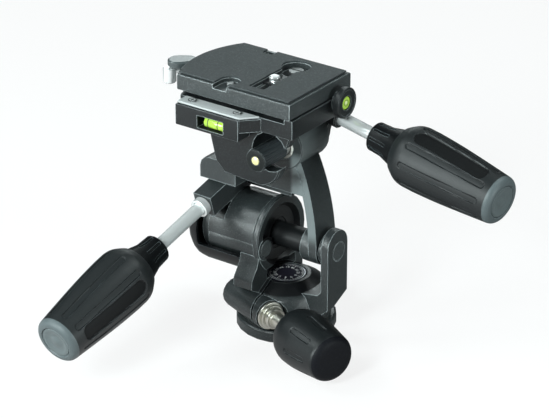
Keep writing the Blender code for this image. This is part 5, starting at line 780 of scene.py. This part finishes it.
def moulded_skin(name, place, body, finishes, outside, tail, bars, cap_from, tones_of, sides=360, rows=200):
    """A turned rubber skin whose grooves sink softly into it; tail closes it inside.

    Each bar is its angle, length, width, middle and depth. Grooves have walls painted dark as shade, the wide
    panel a floor painted dark as shade, and the end from cap_from on is the cap, in the second of the two
    tones."""
    skin_tone, shade_tone, cap_tone = range(3)
    shape = bmesh.new()
    low, high = outside[0][1], outside[-1][1]
    rings, tones = [], []
    for row in range(rows + 1):
        height = low + (high - low) * row / rows
        radius = eased(outside, height) * SKIN_SHRINK
        reaches, shade = [], []
        for step in range(sides):
            angle = TURN * step / sides
            sink = 0
            tone = cap_tone if height > cap_from else skin_tone
            for bar in bars:
                offset = (angle - bar[0] + TURN / 2) % TURN - TURN / 2
                inside = bar_depth(offset * radius, height - bar[3], bar)
                share = min(max(inside / GROOVE_SOFTNESS + 0.5, 0), 1)
                sink = max(sink, bar[4] * share * share * (3 - 2 * share))
                # Groove walls and the wide panel's floor get the painted shade tone
                if 0.3 < share < 0.8 or (share >= 0.9 and bar[2] > GROOVE_WIDTH * 2):
                    tone = shade_tone
            reaches.append(radius - sink)
            shade.append(tone)
        rings.append(ring_at(shape, reaches, height))
        tones.append(shade)
    rings += [ring_of(shape, radius, height, sides) for radius, height in tail]
    for row, step, face in bridge(shape, rings, sides):
        face.material_index = tones[row][step] if row < rows else cap_tone
    shape.faces.new(list(reversed(rings[0])))
    skin = add_mesh(name, shape, place, body, finishes[tones_of[0]])
    for label in ("groove_shade_rubber", tones_of[1]):
        skin.data.materials.append(finishes[label])
    return skin


def rounded_end(radius, turn, end, steps=5):
    """The quarter round from a turned bar's side to its end, without its first point."""
    angles = [QUARTER * step / steps for step in range(1, steps + 1)]
    return [(radius - turn * (1 - math.cos(angle)), end - turn + turn * math.sin(angle)) for angle in angles]


def dress_grip(kind, finishes):
    """The rubber sleeve of one handle with its grooves, recessed panel and end cap; the panel's floor is
    painted dark as shade.
    """
    origin, slope, lean, end, panel_turn = HANDLES[kind]
    place = body_frame(origin, handle_direction(kind, slope, lean))
    start = end - GRIP_LENGTH
    outside = [(GRIP_RADIUS * across, start + GRIP_LENGTH * share) for share, across in GRIP_SHARES]
    outside += rounded_end(GRIP_END_RADIUS, GRIP_ROUND, end)
    outside[-1] = (GRIP_END_RADIUS - GRIP_ROUND * 0.96, end - 0.00002)
    rim = outside[-1][0] * SKIN_SHRINK
    turn = math.radians(panel_turn)
    bars = [(turn, PANEL_LENGTH, PANEL_WIDTH, start + GRIP_LENGTH * PANEL_MIDDLE, PANEL_DEPTH)]
    step = (TURN - 2 * GROOVE_ANGLE) / (GRIP_GROOVES - 1)
    bars += [(turn + GROOVE_ANGLE + step * index, GROOVE_LENGTH, GROOVE_WIDTH,
              start + GRIP_LENGTH * GROOVE_MIDDLE, GROOVE_DEPTH) for index in range(GRIP_GROOVES)]
    tail = [(rim - 0.0006, end - 0.0001), (rim - 0.0010, end - 0.0007), (rim - 0.0013, end - 0.0012),
            (0, end - 0.0012)]
    skin = moulded_skin(kind + "_grip_skin", place, kind + "_handle_body", finishes, outside, tail, bars,
                        end - GRIP_CAP_LENGTH, ("grip_rubber", "cap_rubber"))
    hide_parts(kind + "_grip_sleeve")
    cap = [(0, end - 0.0004), (0.0022, end - 0.00045), (0.0036, end - 0.0010), (0.0056, end - 0.0011),
           (0.0072, end - 0.0005), (rim - 0.0022, end - 0.0003), (rim - 0.0014, end - 0.0005),
           (rim - 0.0013, end - 0.0014), (0, end - 0.0014)]
    disc = add_mesh(kind + "_grip_cap", turned(cap, 96), place, kind + "_handle_body", finishes["cap_face"])


def dress_pan_knob(finishes):
    """The pan knob's rubber skin with its short grooves and dark end."""
    place = body_frame(CLAMP_MIDDLE, CLAMP_DIRECTION)
    end = KNOB_INNER + KNOB_LENGTH
    outside = [(KNOB_RADIUS * across, KNOB_INNER + KNOB_LENGTH * share) for share, across in KNOB_SHARES]
    outside.append((KNOB_TIP_RADIUS, end - KNOB_ROUND))
    outside += rounded_end(KNOB_TIP_RADIUS, KNOB_ROUND, end)
    outside[-1] = (outside[-1][0] + KNOB_ROUND * 0.02, end - 0.00002)
    rim = outside[-1][0] * SKIN_SHRINK
    tail = [(rim * 0.7, end - 0.00001), (rim * 0.4, end - 0.000005), (0, end - 0.000003)]
    bars = [(TURN * index / KNOB_GROOVES, *KNOB_GROOVE) for index in range(KNOB_GROOVES)]
    skin = moulded_skin("pan_knob_skin", place, "pan_knob_body", finishes, outside, tail, bars,
                        end - KNOB_ROUND * 0.55, ("knob_rubber", "knob_cap_rubber"), 320, 120)
    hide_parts("pan_knob_cover")


def dial_marks(finishes):
    """Ticks, ring and numbers printed on the pan dial."""
    ticks = bmesh.new()
    for index in range(TICKS):
        angle = TURN * index / TICKS
        long_one = index % TICKS_PER_NUMBER == 0
        inner = 0.0087 if long_one else (0.0093 if index % 2 == 0 else 0.0097)
        half = 0.00016 if long_one else 0.00010
        outline = ((inner, -half), (TICK_OUTER, -half), (TICK_OUTER, half), (inner, half))
        prism(ticks, [(radius * math.cos(angle) - side * math.sin(angle),
                       radius * math.sin(angle) + side * math.cos(angle)) for radius, side in outline],
              PRINT_LOW, PRINT_HIGH)
    add_mesh("dial_ticks", ticks, Matrix(), "base_body", finishes["dial_white"], False)
    ring = square_ring(*RING_RADII, PRINT_LOW, PRINT_HIGH, 96)
    add_mesh("dial_ring", ring, Matrix(), "base_body", finishes["dial_ring"])
    numbers = bmesh.new()
    for index in range(NUMBERS):
        words = bpy.data.curves.new("number", "FONT")
        words.body = str(index * NUMBER_STEP)
        words.size = NUMBER_SIZE
        words.align_x = words.align_y = "CENTER"
        words.extrude = 0.00004
        writing = bpy.data.objects.new("number", words)
        mesh = bpy.data.meshes.new_from_object(writing)
        angle = TURN * index / NUMBERS - QUARTER
        mesh.transform(Matrix.Translation(polar(NUMBER_RADIUS, angle, DIAL_TOP + 0.00003))
                       @ Matrix.Rotation(angle + QUARTER, 4, "Z"))
        numbers.from_mesh(mesh)
        bpy.data.objects.remove(writing)
        bpy.data.curves.remove(words)
    add_mesh("dial_numbers", numbers, Matrix(), "base_body", finishes["dial_white"], False)


def rounded_bar(radius, low, high, turn, steps=48):
    """A round bar about Z with softly rounded ends."""
    angles = [QUARTER * index / 4 for index in range(5)]
    foot = [(radius - turn + turn * math.sin(angle), low + turn - turn * math.cos(angle)) for angle in angles]
    head = [(radius - turn + turn * math.cos(angle), high - turn + turn * math.sin(angle))
            for angle in angles]
    return turned([(0, low), *foot, *head, (0, high)], steps)


def air_bubble(half_length, radius, steps=20):
    """A bubble about Z whose ends are rounder than its middle."""
    points = []
    for step in range(steps + 1):
        angle = 2 * QUARTER * step / steps
        points.append((radius * math.sin(angle) ** 0.8, -half_length * math.cos(angle)))
    points[0], points[-1] = (0, -half_length), (0, half_length)
    return turned(points, 32)


def bar_level(finishes):
    """The bar level: clear tube with its two lines and its bubble."""
    place = body_frame(LEVEL_MIDDLE, X_AXIS)
    tube = add_mesh("level_tube", rounded_bar(0.0032, -0.0052, 0.0089, 0.0010), place, "side_body",
                    finishes["glowing_level_liquid"])
    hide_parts("bar_level_vial")
    lines = bmesh.new()
    for middle in LEVEL_LINES:
        absorb(lines, square_ring(*LEVEL_LINE_RADII, middle - LEVEL_LINE_HALF, middle + LEVEL_LINE_HALF, 48))
    add_mesh("level_lines", lines, place, "side_body", finishes["level_line"])
    bubble = air_bubble(0.0030, 0.0016)
    bubble.transform(Matrix.Diagonal((0.7, 1, 1, 1)))
    add_mesh("level_bubble", bubble, place @ Matrix.Translation((0.0010, 0.0004, 0.0002)), "side_body",
             finishes["level_bubble"])


def end_level(finishes):
    """The round level in the end boss: liquid, dark circle and bubble."""
    place = body_frame(END_LEVEL_MIDDLE - X_AXIS * END_LEVEL_DEPTH, X_AXIS)
    disc = add_mesh("end_level_lens", rounded_bar(0.0040, 0, 0.0018, 0.0008), place, "side_body",
                    finishes["glowing_level_liquid"])
    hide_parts("end_level_vial")
    ring = square_ring(*END_CIRCLE_RADII, *END_CIRCLE_HEIGHTS, 48)
    add_mesh("end_level_circle", ring, place, "side_body", finishes["level_line"])
    add_mesh("end_level_bubble", air_bubble(0.0004, 0.0013),
             place @ Matrix.Translation((0.0002, 0.0003, 0.00172)), "side_body", finishes["level_bubble"])


def soft_ring(inner, outer, low, high, turn):
    """Profile of a ring whose outer edges are eased by turn, for a closed revolve."""
    part = turn * 0.3
    return [(inner, low), (outer - turn, low), (outer - part, low + part), (outer, low + turn),
            (outer, high - turn), (outer - part, high - part), (outer - turn, high), (inner, high)]


def pan_screw_rings(finishes):
    """The two washers on the pan screw, with clean turned edges."""
    place = body_frame(CLAMP_MIDDLE, CLAMP_DIRECTION)
    for name, low, radius in PAN_WASHERS:
        ring = turned(soft_ring(WASHER_BORE, radius * SKIN_SHRINK, low, low + WASHER_THICKNESS, WASHER_EASE),
                      96, True)
        piece = add_mesh(name + "_ring", ring, place, "pan_knob_body", finishes["warm_nickel"])
        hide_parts(name)


def threaded(radius, low, high, pitch, depth, steps=40):
    """A screw thread about Z, cut as a helix into a bar."""
    shape = bmesh.new()
    count = int((high - low) / pitch * THREAD_ROWS_PER_TURN)
    rings = []
    for row in range(count + 1):
        height = low + (high - low) * row / count
        fade = max(min((height - low) / pitch, (high - height) / pitch, 1), 0.0)
        phases = [(height / pitch - step / steps) % 1 for step in range(steps)]
        cuts = [depth * (1 - abs(2 * phase - 1)) * fade for phase in phases]
        rings.append(ring_at(shape, [radius - cut for cut in cuts], height))
    bridge(shape, rings, steps)
    close_ends(shape, rings)
    return shape


def camera_stud(finishes):
    """The camera screw's threaded stud with its chamfered tip and flat head below."""
    place = Matrix.Translation(STUD_MIDDLE)
    low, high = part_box("camera_screw")
    shape = threaded(STUD_RADIUS, low.z + 0.0019, high.z - 0.0008, STUD_PITCH, THREAD_DEPTH)
    head = turned([(0, low.z), (0.0057, low.z), (0.0060, low.z + 0.0003), (0.0060, low.z + 0.0020),
                   (0, low.z + 0.0020)], 64)
    tip = turned([(0, high.z - 0.0009), (0.0031, high.z - 0.0009), (0.0024, high.z - 0.0001),
                  (0.0010, high.z), (0, high.z)], 48)
    for extra in (head, tip):
        absorb(shape, extra)
    stud = add_mesh("camera_stud", shape, place, "camera_screw_body", finishes["stud_steel"])
    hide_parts("camera_screw")


def selector_knob(finishes):
    """The spring selector with its fluted side, dark face and brass dot."""
    place = body_frame(Vector((SIDE_AXIS.x, 0, SIDE_AXIS.z)), Y_AXIS)
    low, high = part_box("spring_selector")
    shape = bmesh.new()
    sides = 192
    profile = ((low.y + 0.0006, 0), (low.y + 0.0016, 0), (low.y + 0.0022, FLUTE_DEPTH),
               (low.y + 0.0160, FLUTE_DEPTH), (low.y + 0.0172, 0), (SELECTOR_REAR, 0))
    waves = [(0.5 - 0.5 * math.cos(FLUTES * (TURN * step / sides))) ** 3 for step in range(sides)]
    rings = [ring_at(shape, [SELECTOR_RADIUS * SKIN_SHRINK - depth * wave for wave in waves], height)
             for height, depth in profile]
    bridge(shape, rings, sides)
    close_ends(shape, rings)
    side = add_mesh("selector_side", shape, place, "selector_body", finishes["selector_side"])
    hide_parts("spring_selector")
    face = turned([(0, low.y + 0.0013), (0.0029, low.y + 0.0013), (0.0029, low.y + 0.00005),
                   (0.0060, low.y + 0.00003), (0.0064, low.y + 0.0002), (0.0066, low.y + 0.0007),
                   (0.0060, low.y + 0.0020), (0, low.y + 0.0020)], 96)
    add_mesh("selector_face", face, place, "selector_body", finishes["selector_face"])
    low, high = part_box("selector_dot")
    dot = turned([(0, low.y), (0.0021, low.y), (0.0025, low.y + 0.0003), (0.0025, high.y), (0, high.y)], 48)
    piece = add_mesh("selector_dot_face", dot, place, "selector_body", finishes["dot_brass"])
    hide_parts("selector_dot")


def screw_heads(finishes):
    """A ring of painted shadow round each screw of the level cover, and a dark cross painted as the shade in
    its recess.
    """
    for name in ("cover_screw_left", "cover_screw_right"):
        low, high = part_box(name)
        place = Matrix.Translation(((low.x + high.x) / 2, (low.y + high.y) / 2, high.z))
        # Painted shadow ring and painted shade cross, in flat black
        slot = square_ring(0.0020, 0.0025, -0.0002, 0.00002, 40)
        for wide, deep in ((CROSS_LONG, CROSS_WIDE), (CROSS_WIDE, CROSS_LONG)):
            prism(slot, ((-wide, -deep), (wide, -deep), (wide, deep), (-wide, deep)), -0.00003, 0.00003)
        add_mesh(name + "_shade_cross", slot, place @ Matrix.Translation((0, 0, -0.00002)), "side_body",
                 finishes["level_line"], False)


# --- Studio ---

def area_light(name, place, size, power):
    """A soft lamp that looks at the head."""
    lamp = bpy.data.lights.new(name, "AREA")
    lamp.shape = "RECTANGLE"
    lamp.size, lamp.size_y = size
    lamp.energy = power
    lamp.color = (0.90, 1.0, 1.0)
    item = show(name, lamp)
    item.location = place
    item.rotation_euler = (LAMP_TARGET - Vector(place)).to_track_quat("-Z", "Y").to_euler()


def seen_plainly(tree, path):
    """1 for what the camera sees, also through clear glass."""
    return maths(tree, "MAXIMUM", path.outputs["Is Camera Ray"], path.outputs["Is Transmission Ray"])


def mix_shaders(tree, share, first, second):
    """Mix two shader sockets by a share."""
    mix = tree.nodes.new("ShaderNodeMixShader")
    for socket, value in zip(mix.inputs, (share, first, second)):
        tree.links.new(value, socket)
    return mix.outputs[0]


def white_to_camera(tree, path, shader_socket, share, glow):
    """White in part for the camera and behind clear glass, and in reflections of the front half."""
    seen = maths(tree, "MULTIPLY", seen_plainly(tree, path), share)
    place = split_axes(tree, tree.nodes.new("ShaderNodeTexCoord").outputs["Object"])
    ahead = step_range(tree, maths(tree, "MULTIPLY", place["Y"], -1.0), -0.05, 0.15)
    shine = maths(tree, "MULTIPLY", maths(tree, "MULTIPLY", ahead, glow), path.outputs["Is Glossy Ray"])
    seen = maths(tree, "MAXIMUM", seen, shine)
    white = tree.nodes.new("ShaderNodeEmission")
    return mix_shaders(tree, seen, shader_socket, white.outputs[0])


def light_world(scene):
    """A dim world that the camera sees as white, a little brighter overhead in reflections."""
    world = bpy.data.worlds.new("studio")
    scene.world = world
    world.use_nodes = True
    tree = world.node_tree
    tree.nodes.clear()
    way = split_axes(tree, tree.nodes.new("ShaderNodeTexCoord").outputs["Generated"])
    overhead = step_range(tree, way["Z"], 0.30, 0.75)
    path = tree.nodes.new("ShaderNodeLightPath")
    shine = maths(tree, "MULTIPLY", overhead, path.outputs["Is Glossy Ray"])
    shine = maths(tree, "MULTIPLY", shine, WORLD_OVERHEAD)
    soft = tree.nodes.new("ShaderNodeBackground")
    tree.links.new(maths(tree, "ADD", shine, WORLD_STRENGTH), soft.inputs["Strength"])
    clear = tree.nodes.new("ShaderNodeBackground")
    clear.inputs["Color"].default_value = soft.inputs["Color"].default_value = (1, 1, 1, 1)
    out = tree.nodes.new("ShaderNodeOutputWorld")
    mixed = mix_shaders(tree, seen_plainly(tree, path), soft.outputs[0], clear.outputs[0])
    tree.links.new(mixed, out.inputs["Surface"])


def lay_floor():
    """A pale floor, darker for the light that it passes on, which keeps a soft shadow."""
    paper, tree, shader = new_material("floor_paper", {"Roughness": 0.9, "Specular IOR Level": 0.1})
    path = tree.nodes.new("ShaderNodeLightPath")
    tone = blend_colour(tree, path.outputs["Is Camera Ray"], FLOOR_TONE, FLOOR_SEEN_TONE)
    tree.links.new(tone, shader.inputs["Base Color"])
    mixed = white_to_camera(tree, path, shader.outputs[0], FLOOR_WHITE, FLOOR_GLOW)
    tree.links.new(mixed, tree.nodes["Material Output"].inputs["Surface"])
    shape = bmesh.new()
    bmesh.ops.create_grid(shape, x_segments=1, y_segments=1, size=4.0)
    mesh = mesh_of("floor", shape)
    mesh.materials.append(paper)
    floor = show("floor", mesh)
    floor.location = (0, 0, -0.0001)


def set_camera(scene):
    """The photograph's camera and the plain view transform."""
    lens = bpy.data.cameras.new("photo_camera")
    lens.lens = CAMERA_LENS
    lens.sensor_width = 36.0
    lens.sensor_fit = "HORIZONTAL"
    lens.clip_start = 0.05
    camera = show("photo_camera", lens)
    camera.location = CAMERA_PLACE
    camera.rotation_euler = (CAMERA_TARGET - camera.location).to_track_quat("-Z", "Y").to_euler()
    scene.camera = camera
    scene.view_settings.view_transform = "Standard"


def main():
    """Dress the whole head and build its studio."""
    finishes = build_finishes()
    dress_solids(finishes)
    for kind in HANDLES:
        dress_grip(kind, finishes)
    for dress in (dress_pan_knob, dial_marks, bar_level, end_level, pan_screw_rings, camera_stud,
                  selector_knob, screw_heads):
        dress(finishes)
    scene = bpy.context.scene
    light_world(scene)
    lay_floor()
    for lamp in LAMPS:
        area_light(*lamp)
    set_camera(scene)


main()
